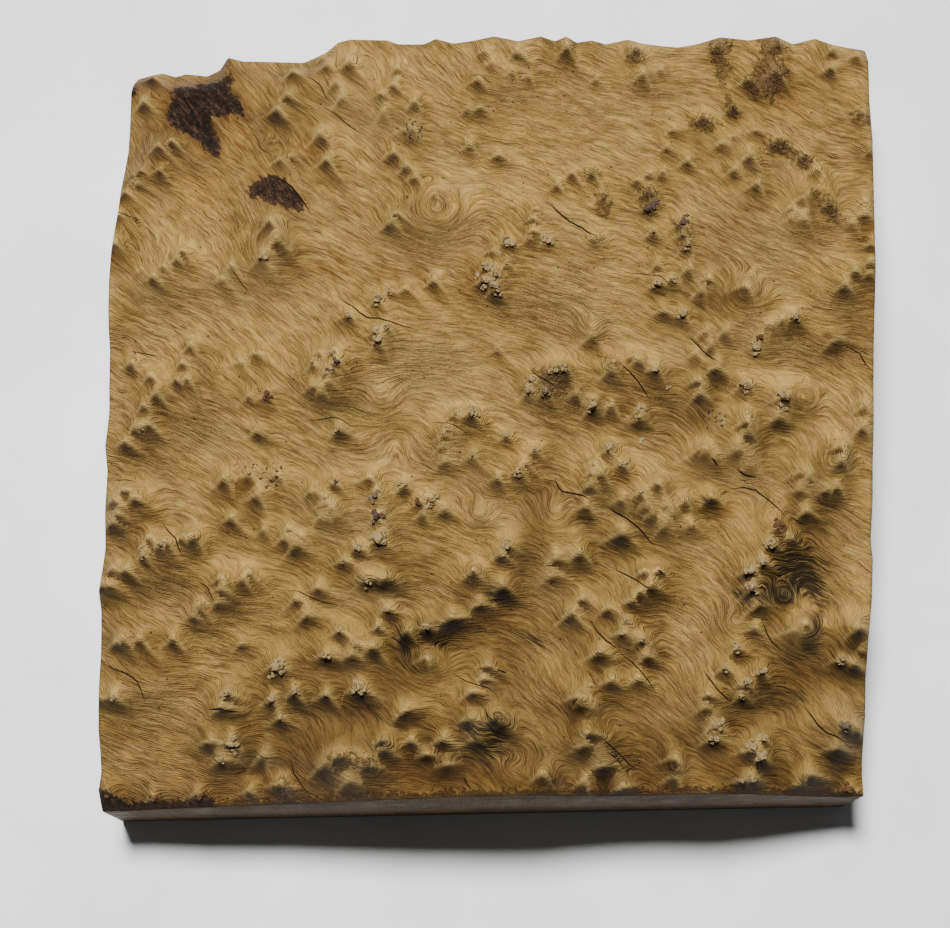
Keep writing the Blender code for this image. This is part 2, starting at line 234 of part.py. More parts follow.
    (66.8, -70.0, 3.2, 3.4, -50, 4), (62.3, -73.4, 3.4, 3.0, -40, 5), (61.3, -76.2, 2.8, 3.0, -30, 5),
    (54.5, -84.0, 4.0, 3.6, -30, 5), (54.0, -87.0, 3.4, 3.2, -20, 5), (63.5, -89.8, 4.2, 3.8, -40, 4),
    (66.0, -92.0, 3.2, 3.4, -20, 4), (67.0, -86.8, 2.8, 2.8, -40, 4), (61.5, -97.2, 3.0, 3.0, -20, 5),
    (64.0, -96.6, 2.8, 3.0, -20, 4), (79.5, -95.0, 3.6, 3.4, -15, 7), (77.0, -97.4, 3.4, 3.2, -5, 8),
    (88.5, -83.0, 4.0, 3.0, -20, 6), (86.5, -88.5, 4.0, 3.8, -10, 7), (92.5, -83.5, 3.0, 2.8, -30, 4),
    (91.0, -98.0, 3.6, 2.4, -30, 5), (88.0, -66.2, 3.0, 2.8, -30, 5), (92.0, -67.2, 3.4, 3.2, -20, 5),
    (92.5, -58.3, 4.4, 3.6, -10, 6), (65.5, -58.8, 3.0, 3.0, -50, 4), (66.0, -53.3, 4.0, 3.2, -10, 6),
    (95.0, -63.0, 3.0, 2.6, -60, 4),
]

# Mesh fineness: cells along each side before simplifying, and the triangles kept
CELLS = 232
TRIANGLES = 10600


def through(near, middle, far, place):
    """Smooth value through three heights, place running from -1 (near) to 1 (far)."""
    return middle + (far - near) / 2 * place + ((near + far) / 2 - middle) * place * place


def dome(x, y):
    across = x / HALF_WIDTH
    away = y / HALF_DEPTH
    left = through(*LEFT_HEIGHTS, away)
    middle = through(*MIDDLE_HEIGHTS, away)
    right = through(*RIGHT_HEIGHTS, away)
    return through(left, middle, right, across)


def swells(x, y):
    total = np.zeros_like(x)
    for centre_x, centre_y, half_x, half_y, rise in SWELLS:
        dx = (x - centre_x) / half_x
        dy = (y - centre_y) / half_y
        dy = np.where(dy < 0, dy * 1.25, dy)
        total += rise * np.exp(-((dx * dx + dy * dy) ** 1.25))
    return SWELL_SHARE * total - SWELL_DROP


def knobs(x, y):
    total = np.zeros_like(x)
    for head_x, head_y, width, rise, heading, tail in KNOBS:
        turn = math.radians(heading)
        dx = x - head_x
        dy = y - head_y
        along = dx * math.cos(turn) + dy * math.sin(turn)
        across = dy * math.cos(turn) - dx * math.sin(turn)
        across = np.where(across * math.cos(turn) < 0, 1.4 * across, 0.85 * across)
        reach = np.where(along < 0, 0.6 * width, 0.4 * width + 0.6 * tail)
        mound = np.exp(-((along / reach) ** 2) - (across / (0.62 * width)) ** 2)
        depth = np.where(dy < 0, 0.38 * width, 0.75 * width)
        thorn = np.exp(-np.hypot(dx / (0.5 * width), dy / depth))
        fin = np.exp(-(((along - 0.4 * tail) / (0.65 * tail)) ** 2) - np.abs(across) / (0.34 * width))
        total += rise * (0.55 * mound + 0.6 * thorn + 0.25 * fin)
    return total


def raw_height(x, y):
    return dome(x, y) + swells(x, y) + knobs(x, y)


def cut_height(cut, place):
    table = np.array(cut, float)
    return np.interp(place, table[:, 0], table[:, 1])


def fade(distance):
    t = np.clip(distance / CUT_REACH, 0, 1)
    return 1 - t * t * (3 - 2 * t)


def surface():
    """Plan places and heights of the skin, as square arrays indexed [away, across]."""
    steps = np.linspace(0, 1, CELLS + 1)
    a, b = np.meshgrid(steps, steps)
    places = []
    for axis in (0, 1):
        near = NEAR_LEFT[axis] * (1 - a) + NEAR_RIGHT[axis] * a
        far = FAR_LEFT[axis] * (1 - a) + FAR_RIGHT[axis] * a
        places.append(near * (1 - b) + far * b)
    x, y = places
    z = raw_height(x, y)
    # pull the skin to the heights read along each saw cut, fading out towards the middle
    gap_near = cut_height(NEAR_CUT, x[0]) - z[0]
    gap_far = cut_height(FAR_CUT, x[-1]) - z[-1]
    gap_left = cut_height(LEFT_CUT, y[:, 0]) - z[:, 0]
    gap_right = cut_height(RIGHT_CUT, y[:, -1]) - z[:, -1]
    for row, column, gap_row, gap_column in (
        (0, 0, gap_near, gap_left), (0, -1, gap_near, gap_right),
        (-1, 0, gap_far, gap_left), (-1, -1, gap_far, gap_right),
    ):
        middle = (gap_row[column] + gap_column[row]) / 2
        gap_row[column] = middle
        gap_column[row] = middle
    span_x = x[:, -1:] - x[:, :1]
    span_y = y[-1:] - y[:1]
    w_left = fade(a * span_x)
    w_right = fade((1 - a) * span_x)
    w_near = fade(b * span_y)
    w_far = fade((1 - b) * span_y)
    z = z + w_near * gap_near + w_far * gap_far
    z = z + w_left * gap_left[:, None] + w_right * gap_right[:, None]
    z = z - w_near * w_left * gap_near[0] - w_near * w_right * gap_near[-1]
    z = z - w_far * w_left * gap_far[0] - w_far * w_right * gap_far[-1]
    return x, y, z


def closed_body(x, y, z):
    """Skin on top, four sawn sides below its rim, and the sawn base."""
    body = bmesh.new()
    rows, columns = z.shape
    top = []
    for i in range(rows):
        line = []
        for j in range(columns):
            place = (x[i, j] * MILLIMETRE, y[i, j] * MILLIMETRE, z[i, j] * MILLIMETRE)
            line.append(body.verts.new(place))
        top.append(line)
    for i in range(rows - 1):
        for j in range(columns - 1):
            body.faces.new((top[i][j], top[i][j + 1], top[i + 1][j + 1], top[i + 1][j]))
    rim = [top[0][j] for j in range(columns - 1)]
    rim += [top[i][columns - 1] for i in range(rows - 1)]
    rim += [top[rows - 1][j] for j in range(columns - 1, 0, -1)]
    rim += [top[i][0] for i in range(rows - 1, 0, -1)]
    foot = [body.verts.new((vert.co.x, vert.co.y, 0.0)) for vert in rim]
    count = len(rim)
    for k in range(count):
        after = (k + 1) % count
        body.faces.new((foot[k], foot[after], rim[after], rim[k]))
    body.faces.new(list(reversed(foot)))
    return body


# Take the startup scene away
for thing in list(bpy.data.objects):
    bpy.data.objects.remove(thing, do_unlink=True)

# Fine body first, then simplified to the triangles a CAD solid can carry
body = closed_body(*surface())
bmesh.ops.triangulate(body, faces=body.faces[:])
mesh = bpy.data.meshes.new("burl_blank")
body.to_mesh(mesh)
fine_count = len(mesh.polygons)
body.free()
blank = bpy.data.objects.new("burl_blank", mesh)
bpy.context.scene.collection.objects.link(blank)
bpy.context.view_layer.objects.active = blank
blank.select_set(True)
simplify = blank.modifiers.new("simplify", "DECIMATE")
simplify.ratio = TRIANGLES / fine_count
simplify.use_collapse_triangulate = True
bpy.ops.object.modifier_apply(modifier=simplify.name)

# Put the foot back exactly on the base plane and the sides exactly on their saw cuts
body = bmesh.new()
body.from_mesh(blank.data)
corners = [NEAR_LEFT, NEAR_RIGHT, FAR_RIGHT, FAR_LEFT]
for vert in body.verts:
    if vert.co.z < 0.5 * MILLIMETRE:
        vert.co.z = 0.0
    for k in range(4):
        start = corners[k]
        end = corners[(k + 1) % 4]
        run_x = end[0] - start[0]
        run_y = end[1] - start[1]
        length = math.hypot(run_x, run_y)
        out_x = run_y / length
        out_y = -run_x / length
        off = (vert.co.x / MILLIMETRE - start[0]) * out_x + (vert.co.y / MILLIMETRE - start[1]) * out_y
        if abs(off) < 0.12:
            vert.co.x -= off * out_x * MILLIMETRE
            vert.co.y -= off * out_y * MILLIMETRE
bmesh.ops.remove_doubles(body, verts=body.verts[:], dist=0.02 * MILLIMETRE)
bmesh.ops.dissolve_degenerate(body, dist=0.01 * MILLIMETRE, edges=body.edges[:])
bmesh.ops.triangulate(body, faces=body.faces[:])
bmesh.ops.recalc_face_normals(body, faces=body.faces[:])
body.to_mesh(blank.data)
print("triangles", len(blank.data.polygons), "open edges", sum(1 for e in body.edges if not e.is_manifold))
body.free()

# Plain wood colour for the solid
wood = bpy.data.materials.new("burl_wood")
wood.use_nodes = True
shader = wood.node_tree.nodes["Principled BSDF"]
shader.inputs["Base Color"].default_value = (0.42, 0.27, 0.12, 1.0)
shader.inputs["Roughness"].default_value = 0.55
blank.data.materials.clear()
blank.data.materials.append(wood)
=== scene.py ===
# %% [markdown]
# # A mallee burl bowl blank
#
# A burl is a woody swelling full of dormant buds. Under the bark its skin is covered with small knobs, each
# with a fluted tail, and the grain runs round them like water round stones. This one has been sawn into a
# square slab with four upright cuts and one flat cut below, ready to be turned into a bowl. It is a single
# piece of wood, so the scene holds one large mesh for it and one small mesh for the crumbs of bark that
# are still stuck on the knobs.
#
# All sizes in this file are real sizes in millimetres. X runs to the right, Y runs away from the camera,
# and Z runs up from the sawn base.

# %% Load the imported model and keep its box
import math

import bpy
import numpy as np
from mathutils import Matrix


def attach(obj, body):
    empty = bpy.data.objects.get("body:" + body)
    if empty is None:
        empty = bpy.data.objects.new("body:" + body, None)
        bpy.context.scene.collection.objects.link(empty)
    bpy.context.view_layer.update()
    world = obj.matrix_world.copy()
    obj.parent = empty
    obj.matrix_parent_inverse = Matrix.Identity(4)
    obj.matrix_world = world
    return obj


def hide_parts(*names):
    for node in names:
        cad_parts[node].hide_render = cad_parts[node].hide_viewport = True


MILLIMETRE = 0.001
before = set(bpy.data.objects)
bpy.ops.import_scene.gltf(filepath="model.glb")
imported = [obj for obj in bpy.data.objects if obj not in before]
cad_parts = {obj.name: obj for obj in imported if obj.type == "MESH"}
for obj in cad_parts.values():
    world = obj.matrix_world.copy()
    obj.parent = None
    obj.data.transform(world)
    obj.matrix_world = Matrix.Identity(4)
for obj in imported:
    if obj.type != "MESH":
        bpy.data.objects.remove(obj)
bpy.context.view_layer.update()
bpy.ops.object.select_all(action="DESELECT")

# %% [markdown]
# ## The camera
#
# The photograph looks down steeply on the blank from its near side. The four corners of the slab fix the
# view: an 80 mm lens, a little more than half a metre away, 76 degrees above the table. The near side then
# shows as a thin strip, as it does in the photograph.

# %% Camera
LENS = 80.0
CAMERA_HEIGHT_ANGLE = math.radians(76.0)
CAMERA_DISTANCE = 551.0
LOOK_AT = (-5.9, -15.2, 48.0)

camera_data = bpy.data.cameras.new("camera")
camera_data.lens = LENS
camera_data.sensor_width = 36.0
camera_data.clip_start = 0.01
camera = bpy.data.objects.new("camera", camera_data)
bpy.context.scene.collection.objects.link(camera)
camera.location = (
    LOOK_AT[0] * MILLIMETRE,
    (LOOK_AT[1] - CAMERA_DISTANCE * math.cos(CAMERA_HEIGHT_ANGLE)) * MILLIMETRE,
    (LOOK_AT[2] + CAMERA_DISTANCE * math.sin(CAMERA_HEIGHT_ANGLE)) * MILLIMETRE,
)
camera.rotation_euler = (math.radians(90.0) - CAMERA_HEIGHT_ANGLE, 0.0, 0.0)
bpy.context.scene.camera = camera
print("camera", [round(v, 3) for v in camera.location])

# %% [markdown]
# ## The saw cuts
#
# The slab was cut by eye, so its four sides are straight and upright but not quite square to one another.
# Where a cut meets the knobbly skin, its upper edge wanders up and down. Those heights are given here as
# short lists: the place along the cut, then the height of the skin there. They shape the outline that
# anyone sees first.

# %% Corners and edge heights of the slab
# Plan of the blank: four straight saw cuts, not quite square to one another
NEAR_LEFT = (-102.0, -103.75)
NEAR_RIGHT = (94.5, -99.75)
FAR_RIGHT = (102.0, 103.75)
FAR_LEFT = (-102.0, 103.75)

# Broad dome of the burl: height above the base, near, middle and far, on three lines
LEFT_HEIGHTS = (36.0, 51.0, 34.0)
MIDDLE_HEIGHTS = (50.0, 54.0, 48.0)
RIGHT_HEIGHTS = (32.0, 51.0, 46.0)
HALF_WIDTH = 102.0
HALF_DEPTH = 103.75

# Height of the skin where each saw cut meets it: place along the cut, height
FAR_CUT = [
    (-102, 25), (-97, 28), (-94.5, 29), (-91, 26.5), (-88, 28.5), (-82, 27), (-78, 31), (-74.7, 39.5),
    (-71, 37), (-61, 36.5), (-54, 36), (-50.7, 39), (-47, 43), (-43.5, 49), (-40, 51), (-30, 50.5),
    (-27, 48), (-20, 48), (-16.5, 51.5), (-12, 48.5), (-7, 50), (-0.7, 53), (6, 50), (12, 53), (16, 50),
    (19, 53), (22, 49), (26, 50.5), (30, 48), (36, 51), (40, 48.5), (45, 47), (50, 46), (55, 48), (61, 52.5),
    (65, 51.5), (69, 50.5), (76, 53), (81.5, 48), (87, 51.5), (92, 48), (95, 46.5), (102, 44),
]
LEFT_CUT = [
    (-103.75, 33), (-99, 40), (-94, 37), (-89, 40), (-84, 44), (-74, 46), (-64, 45), (-54, 47), (-49.5, 52),
    (-43, 48), (-37, 45), (-28, 48), (-17, 47), (-11, 52), (-7, 50), (-1, 48), (4, 49.5), (15, 51), (19, 54),
    (24, 56), (32, 57), (41, 55.5), (48, 52), (55, 48), (62, 45), (70, 40), (77, 36), (84, 35), (95, 35.5),
    (99, 32), (103.75, 25),
]
RIGHT_CUT = [
    (-99.75, 33), (-95, 31), (-90, 31), (-80, 36), (-70, 37), (-60, 42), (-51, 47), (-41, 49), (-35, 46),
    (-25, 49.5), (-15, 50), (-5, 52), (6, 52), (17, 53), (27, 55), (37, 57), (44, 56), (60, 55), (73, 54),
    (86, 50), (98, 49), (103.75, 44),
]
NEAR_CUT = [
    (-102, 33), (-95, 33), (-80, 38), (-67, 40), (-59, 41), (-39, 46.5), (-27, 50), (-15, 52), (-6, 54),
    (7, 54), (17, 50), (28, 47), (39, 46.5), (53, 48.5), (65, 44), (78, 36), (90, 30), (94.5, 33),
]
CUT_REACH = 11.0

# %% [markdown]
# ## Swells and knobs
#
# The knobs do not stand on an even dome. They gather on low swells, each two or three centimetres across,
# with smooth valleys between them. On the real burl every knob is a dormant bud, its head a few millimetres
# across, with a tail that trails off along the grain. Both are kept as lists, so that a knob can be moved,
# widened or turned by changing one line.

# %% Swells and knobs
# Swells the knobs stand on: centre across, centre away, half width, half depth, rise
SWELLS = [
    # smooth domes in the middle and far half
    (14, 38, 19, 20, 4.5), (62, 48, 19, 19, 4), (-19, 50, 11, 9, 2.6), (-24, 17, 16, 13, 3.6),
    (-42, 7, 10, 9, 3.2), (-82, 1, 16, 12, 3.4), (-85, 35, 13, 10, 2.8), (-60, 42, 11, 12, 3.2),
    (-51, 63, 13, 13, 2.6), (-94, 70, 12, 10, 2.4), (-46, 90, 14, 12, 2.8), (-26, 88, 9, 10, 2.2),
    (0, 92, 11, 9, 2), (38, 94, 10, 9, 1.8), (75, 94, 10, 9, 1.8), (60, 74, 13, 8, 1.6),
    (86, 52, 10, 10, 2.2), (91, 33, 9, 9, 2.4), (68, 23, 11, 9, 2.6), (72, 3, 9, 7, 2.4),
    # crowded swells of the near half
    (-93, -28, 10, 8, 2.8), (-87, -43, 12, 8, 2.8), (-69, -49, 9, 7, 2.6), (-40, -28, 11, 9, 3),
    (-10, -10, 11, 9, 3.2), (2, -20, 9, 8, 2.4), (15, 5, 11, 7, 3), (35, 6, 11, 9, 3),
    (27, -21, 10, 10, 3.2), (42, -26, 10, 9, 3), (59, -9, 10, 9, 3.2), (86, -15, 8, 9, 2.4),
    (67, -42, 10, 10, 3.2), (75, -58, 7, 7, 2.6), (57, -76, 11, 10, 3), (86, -82, 10, 7, 2.6),
    (89, -60, 8, 6, 2), (-4, -82, 14, 8, 3), (-38, -91, 13, 9, 3.2), (-51, -73, 11, 8, 2.8),
    (-69, -83, 9, 9, 2.6), (-91, -72, 12, 9, 2.8), (-94, -58, 10, 6, 2.2), (19, -74, 13, 8, 2.8),
    (22, -88, 13, 6, 2.2), (31, -60, 10, 8, 2.8), (13, -38, 11, 6, 2.6), (-5, -47, 10, 5, 2.2),
    (-31, -45, 11, 6, 2.4), (-41, -64, 11, 6, 2.4), (62, -92, 9, 6, 2.4), (36, -49, 10, 6, 2.2),
    (63, -22, 12, 7, -1.6), (-17, -64, 6, 4, -3.4), (-60, -94, 6, 3, -2), (9, -53, 9, 5, -1.4),
    (-82, 84, 8, 8, -1.6), (26, 17, 7, 5, -1.8), (80, 10, 9, 6, -1.6), (83, -30, 7, 7, -1.4),
    (48, -8, 6, 8, -1.6), (-24, 33, 9, 5, -1.2), (-4, 45, 6, 8, -1.8), (70, -79, 9, 4, -2),
]


# %% Knobs
# Knobs: head across, head away, half width, rise, heading of the fluted tail in degrees, tail length
KNOBS = [
    # far left corner
    (-98, 91, 3.2, 3, -50, 7), (-96.5, 100.5, 3.4, 2.4, -50, 8), (-88.5, 76.2, 2.6, 2.2, -50, 9),
    (-92.3, 74.6, 2.6, 2.2, -48, 11), (-96.5, 67.5, 2.2, 2, -45, 6), (-99, 66.8, 1.8, 1.3, -45, 3),
    (-91.2, 66.6, 2.4, 2.2, -50, 7), (-99, 64, 1.8, 1.4, -45, 4), (-97, 63.3, 2, 1.8, -35, 5),
    (-100.5, 61, 2.8, 2.4, -45, 8), (-102.3, 54, 2.8, 2.4, -40, 6), (-60, 84.5, 3.2, 3, -50, 9),
    (-58.5, 68.6, 2.6, 2.4, -50, 9), (-55.2, 69.5, 2.4, 2, -45, 6), (-56.3, 97.3, 3.2, 2.6, -45, 9),
    (-57.5, 88.7, 3, 2.4, -40, 8), (-86, 92, 4, 1.6, -55, 8), (-80, 86, 4.4, 1.6, -55, 9),
    # far side, left of the middle
    (-48.5, 101.7, 2, 1.5, -60, 3), (-46.5, 97.3, 2.6, 2, -55, 5), (-40, 96.3, 4.4, 3.6, -50, 9),
    (-44, 91, 3.2, 2.4, -45, 6), (-42, 86.3, 3.6, 3, -45, 8), (-27, 95.6, 2.8, 2, -50, 5),
    (-27.3, 92, 1.8, 1.4, -60, 3), (-28, 89.8, 2.8, 2.6, -50, 5), (-31.7, 87.5, 2.6, 2.2, -30, 5),
    (-30.7, 82.3, 3, 3, -60, 4), (-22.3, 84.7, 3, 3, -55, 5), (-47.7, 75.8, 4.2, 4.4, -55, 7),
    (-45.8, 67.6, 3.2, 3.4, -55, 12), (-28, 70.6, 3.2, 3, -45, 5), (-24.5, 66.6, 2.6, 2.4, -35, 5),
    (-21.8, 63.3, 2.6, 2.6, -60, 4), (-7.6, 72.7, 3, 2.8, -55, 5), (-16.6, 57.6, 2, 2, -60, 4),
    (-1.5, 96, 2.2, 1.6, -50, 4), (-5, 91.5, 3, 2.2, -60, 5), (-4.5, 83.8, 3, 1.8, -40, 5),
    (-8, 83.7, 2.6, 1.6, -60, 4), (-23, 78, 4.6, 2.4, -60, 6), (-3.5, 99.5, 2, 1.3, -50, 3),
    # far side, right of the middle
    (0.3, 69.4, 3.2, 3, -35, 6), (5.5, 99.6, 3, 2.4, -45, 8), (18.8, 100, 3, 3, -50, 7),
    (4.6, 93.5, 2.6, 2.2, -75, 4), (9, 92.6, 2.6, 1.8, -70, 4), (39.6, 91.6, 3.4, 3.6, -60, 7),
    (44.8, 94.2, 2.2, 2, -65, 4), (38, 99.5, 3, 3, -80, 6), (27, 92, 2.6, 1.8, -50, 5),
    (47, 76.3, 2.6, 1.8, -10, 5), (45.5, 71.5, 2.6, 2, -40, 6), (51, 66.8, 2.6, 2.6, -50, 6),
    (40.5, 63.6, 2.6, 2.4, -50, 4), (44.3, 63.8, 2.4, 2.4, -60, 4), (37.5, 61.7, 2.2, 1.8, -40, 4),
    (20, 63.8, 2.6, 2.6, -60, 10), (25.5, 64.2, 2.6, 3, -65, 9), (16, 60.2, 2.6, 2, -60, 6),
    (23.6, 65.2, 2, 1.6, -60, 4), (40.5, 58, 3, 3.2, -45, 4), (28, 56.5, 3, 1.8, -50, 5),
    # far right corner
    (92, 101.2, 3.4, 3.4, -60, 6), (91.3, 95.8, 3, 3, -60, 5), (98.4, 99.6, 2.2, 2.2, -60, 5),
    (55.6, 79.6, 4, 3, -50, 6), (60, 71.8, 3.4, 1.8, -30, 5), (63.8, 74, 2.6, 1.6, -40, 4),
    (67.2, 67.6, 4, 4, -55, 8), (63.2, 63.8, 2.8, 2.8, -50, 4), (69, 59.3, 3, 3.4, -70, 7),
    (69.8, 76.2, 3.2, 1.8, -30, 4), (76, 73, 3.4, 2.6, -30, 6), (82, 68.6, 3.4, 2.6, -35, 5),
    (85.8, 64.8, 3, 2.6, -60, 8), (80.6, 54.8, 2.8, 3, -65, 5), (97.3, 54.5, 3, 2, -40, 4),
    (60.5, 101, 4, 3.2, -70, 6), (64, 82.5, 3.2, 2.6, -60, 5), (75.5, 93.5, 4.6, 2.8, -55, 8),
    (68.5, 91.3, 3.2, 2.6, -50, 7), (76.5, 101, 3, 2.4, -60, 4), (98.5, 81.5, 3, 2.2, -90, 4),
    (100.3, 70, 2.6, 2, -80, 3), (84.5, 58, 2.6, 1.8, -40, 5),
    # left side, away from the middle
    (-102.3, 44.3, 4, 3.6, -50, 9), (-94, 36.5, 1.8, 1.4, -80, 3), (-85, 39.4, 2.6, 2.6, -50, 5),
    (-83.3, 41.4, 3, 3.2, -50, 6), (-88.3, 37.2, 2.2, 2, -50, 5), (-90.8, 34.3, 2.8, 2.8, -50, 6),
    (-70.5, 37.4, 2.6, 2.4, -52, 9), (-72.6, 33.8, 2.6, 2.4, -48, 7), (-60.3, 49.3, 4.4, 4.2, -60, 6),
    (-58, 43, 4.2, 4.4, -45, 7), (-62, 38.3, 4.8, 4.8, -60, 8), (-95.7, 10.6, 3, 3.2, -55, 5),
    (-80.3, 15.6, 3, 2.8, -60, 6), (-82.2, 10.3, 2.6, 2.2, -50, 5), (-90.5, 6.8, 3, 2.4, -50, 8),
    (-83.2, 5.2, 2.4, 2.2, -55, 7), (-80.6, 5.5, 2.2, 2, -60, 7), (-88.6, 1.6, 3, 2.8, -50, 7),
    (-60, 2.2, 4, 2.2, -60, 6), (-64.5, 1.6, 2.6, 1.8, -60, 5), (-67, 11, 3.2, 1.4, -60, 7),
    (-63.5, 13.5, 4, 1.4, -40, 6),
    # middle, left half
    (-26.8, 51.3, 3, 2.8, -40, 7), (-28.6, 49, 3.2, 3.4, -45, 6), (-16.7, 33.2, 3.4, 3.4, -55, 8),
    (-31.6, 27.6, 3, 2.8, -55, 6), (-28.3, 30.2, 2.6, 2.2, -30, 5), (-24.2, 31.3, 2.8, 2.4, -50, 9),
    (-39, 23.2, 3, 3.2, -55, 5), (-31.3, 17.6, 3, 2.8, -50, 5), (-28.8, 18.6, 2.8, 2.2, -50, 5),
    (-31, 14.9, 2.8, 3, -60, 6), (-3, 36, 3, 2.6, -40, 5), (-3.6, 32.2, 3, 3, -40, 5),
    (-0.7, 33.5, 2.6, 2.4, -40, 5), (-0.5, 29.6, 2.8, 3.2, -50, 6), (-46.5, 12.5, 2.6, 2.4, -60, 5),
    (-42.5, 12.8, 3, 2.2, -60, 4), (-48, 9.4, 2.8, 2.4, -50, 5), (-41.7, 8.9, 2.8, 2.8, -40, 5),
    (-44.2, 6.2, 2.4, 2.4, -40, 5), (-42.3, 6.6, 2.2, 2, -40, 4), (-43.8, 3.8, 2.6, 2.8, -35, 6),
    (-48, 3.4, 3, 3, -30, 7), (-46, 1.5, 2.6, 2.4, -30, 5), (0, 14, 2.6, 1.8, -45, 5),
    # middle, right half
    (10.2, 52.3, 2.2, 2, -35, 5), (9.3, 49.2, 2.4, 2.4, -38, 6), (9, 45.3, 2.6, 2.2, -25, 7),
    (2.2, 43, 3, 2.2, -30, 5), (8.6, 43.4, 2.4, 1.4, -40, 4), (13.6, 42.3, 2.6, 1.8, -40, 4),
    (25.4, 43.3, 3, 3.2, -55, 5), (2.5, 36.5, 2.4, 1.8, -50, 4), (-1.5, 41.2, 2.6, 1.8, -50, 4),
    (40.6, 53.5, 2.8, 3, -50, 4), (41.2, 46.2, 2.4, 2.8, -50, 5), (48.8, 48, 3.2, 3.2, -80, 4),
    (49.8, 41.8, 2.8, 3.2, -60, 4), (49, 44.6, 2.6, 2.4, -60, 3), (42.2, 37.4, 3, 2.6, -60, 4),
    (50.5, 35.7, 2.8, 3.2, -70, 4), (41.8, 32, 3, 2.8, -20, 6), (45.8, 33.2, 2.4, 1.8, -40, 4),
    (48.6, 23.6, 3, 3.2, -60, 5), (43.5, 24.6, 3.4, 2.4, -30, 6), (29.5, 9, 3, 3.4, -60, 3),
    (29, 6.6, 3.4, 3.4, -40, 4), (35, 11.2, 2.4, 1.6, -40, 4), (36.8, 10, 2.8, 2.4, -60, 5),
    (41, 7.6, 3.2, 3, -60, 6), (25, 18, 4.6, 2.4, -60, 6), (14.5, 7.3, 3.4, 2.8, -20, 5),
    (17.5, 7.8, 2.8, 3, -60, 5), (8.8, 4.6, 2.6, 2.6, -60, 4), (8, 2, 2.6, 2.4, -60, 4),
    (12.2, 1.3, 2.8, 3.2, -50, 5), (20.4, 1.2, 2.6, 2.6, -60, 4), (24.6, -0.8, 2.8, 2.4, -60, 4),
    (51.5, 13, 2.6, 2.2, -50, 4), (52, 5.4, 3, 3.2, -40, 5), (52.3, 2, 3, 3.2, -40, 5),
    # right side, away from the middle
    (55.3, 32.8, 3, 3, -50, 4), (53.8, 30, 3, 3.2, -80, 4), (65, 30.5, 4.5, 3.4, -70, 5),
    (54.4, 19, 2.6, 2.6, -70, 4), (59.4, 18.4, 2.8, 3.2, -50, 5), (55.8, 14.9, 2.6, 2.8, -50, 4),
    (70.2, 20, 2.2, 2.4, -60, 4), (72.2, 20, 2, 2.2, -60, 4), (74.4, 21.6, 2.2, 2.4, -60, 4),
    (77.6, 22.6, 3.2, 3.4, -40, 4), (68.5, 16.8, 3, 3.2, -50, 4), (67.2, 14.6, 3, 2, -40, 5),
    (64.4, 4.3, 3.4, 3.2, -60, 4), (73.8, 0.3, 3.8, 4, -50, 5), (77.5, 52, 2.6, 2.4, -50, 4),
    (77.6, 49.2, 2.8, 2.8, -60, 5), (81.2, 49, 3, 3, -60, 6), (88, 54, 4, 2.6, -45, 6),
    (97, 51, 3.4, 3.2, -40, 5), (94, 48.7, 2.6, 2, -60, 4), (99.5, 43.3, 2.8, 3.2, -80, 4),
    (98.3, 37.4, 2.6, 2.6, -60, 4), (94, 34.6, 2.8, 3.2, -50, 4), (91, 31, 2.8, 3.2, -50, 4),
    (98, 34, 2, 2, -60, 3), (57, 9, 4, 3.6, -40, 5), (89, 17.5, 5, 1.6, -20, 6),
    # left side, nearer than the middle
    (-92, -1.3, 2.4, 2, -45, 6), (-94.4, -7, 2.4, 2.4, -45, 6), (-92.6, -6.6, 2.2, 2, -50, 7),
    (-90.4, -6.3, 2.6, 2.6, -45, 8), (-96.6, -10.8, 2.6, 2.8, -30, 8), (-96.3, -23.4, 2.6, 2.8, -30, 7),
    (-99.4, -25.6, 2.8, 2.8, -35, 7), (-93, -26, 3.2, 2.4, -35, 6), (-98, -29.4, 2.6, 2.4, -30, 5),
    (-100, -31.2, 2.8, 2.6, -30, 6), (-89, -36.2, 2.8, 3, -60, 8), (-90.8, -38.8, 2.4, 2.4, -50, 5),
    (-90.8, -40.8, 2.4, 2.4, -50, 6), (-86, -38.2, 2.8, 2.6, -60, 6), (-84.5, -37.4, 2.6, 2.6, -60, 8),
    (-80.5, -36, 2.8, 3.2, -65, 6), (-77.6, -36.3, 3.6, 4.2, -60, 6), (-70.6, -20.8, 3.4, 4, -60, 6),
    (-68.5, -31, 3, 3.4, -45, 6), (-61.5, -25.3, 4, 3.6, -70, 6), (-62.3, -8, 2.8, 2.8, -30, 7),
    (-60, -33.8, 2.4, 2.2, -60, 5), (-54.8, -36.4, 2.6, 2.8, -40, 6), (-54, -33.7, 2.4, 2, -30, 5),
    (-99, -43.6, 2.8, 2.6, -40, 6), (-95, -44.2, 3, 3, -45, 7), (-101.5, -48, 3, 3, -30, 7),
    (-99, -48.2, 2.4, 2.2, -30, 7), (-70.4, -47, 2.6, 2.8, -60, 6), (-65, -47.2, 2.6, 2.8, -55, 6),
    (-63.4, -45.5, 2.6, 2.8, -45, 7), (-70.5, -49.8, 2.4, 2.4, -30, 6), (-71.5, -52.9, 2.4, 2.4, -10, 5),
    (-51.5, -52, 3, 3, -30, 6), (-64, -19.5, 5, 2, -60, 6), (-57, -19.5, 4, 1.8, -60, 5),
    (-76, -53.6, 2.4, 2.2, -50, 5),
    # middle, nearer, left half
    (-41.2, -7.6, 3.2, 3.2, -30, 8), (-41.8, -22.3, 2.8, 2.4, -50, 6), (-48.2, -24.4, 2.8, 2, -30, 8),
    (-44.8, -26.2, 2.4, 1.8, -30, 7), (-45, -28.3, 2.4, 2, -20, 6), (-42.7, -29.6, 2.2, 1.6, -30, 5),
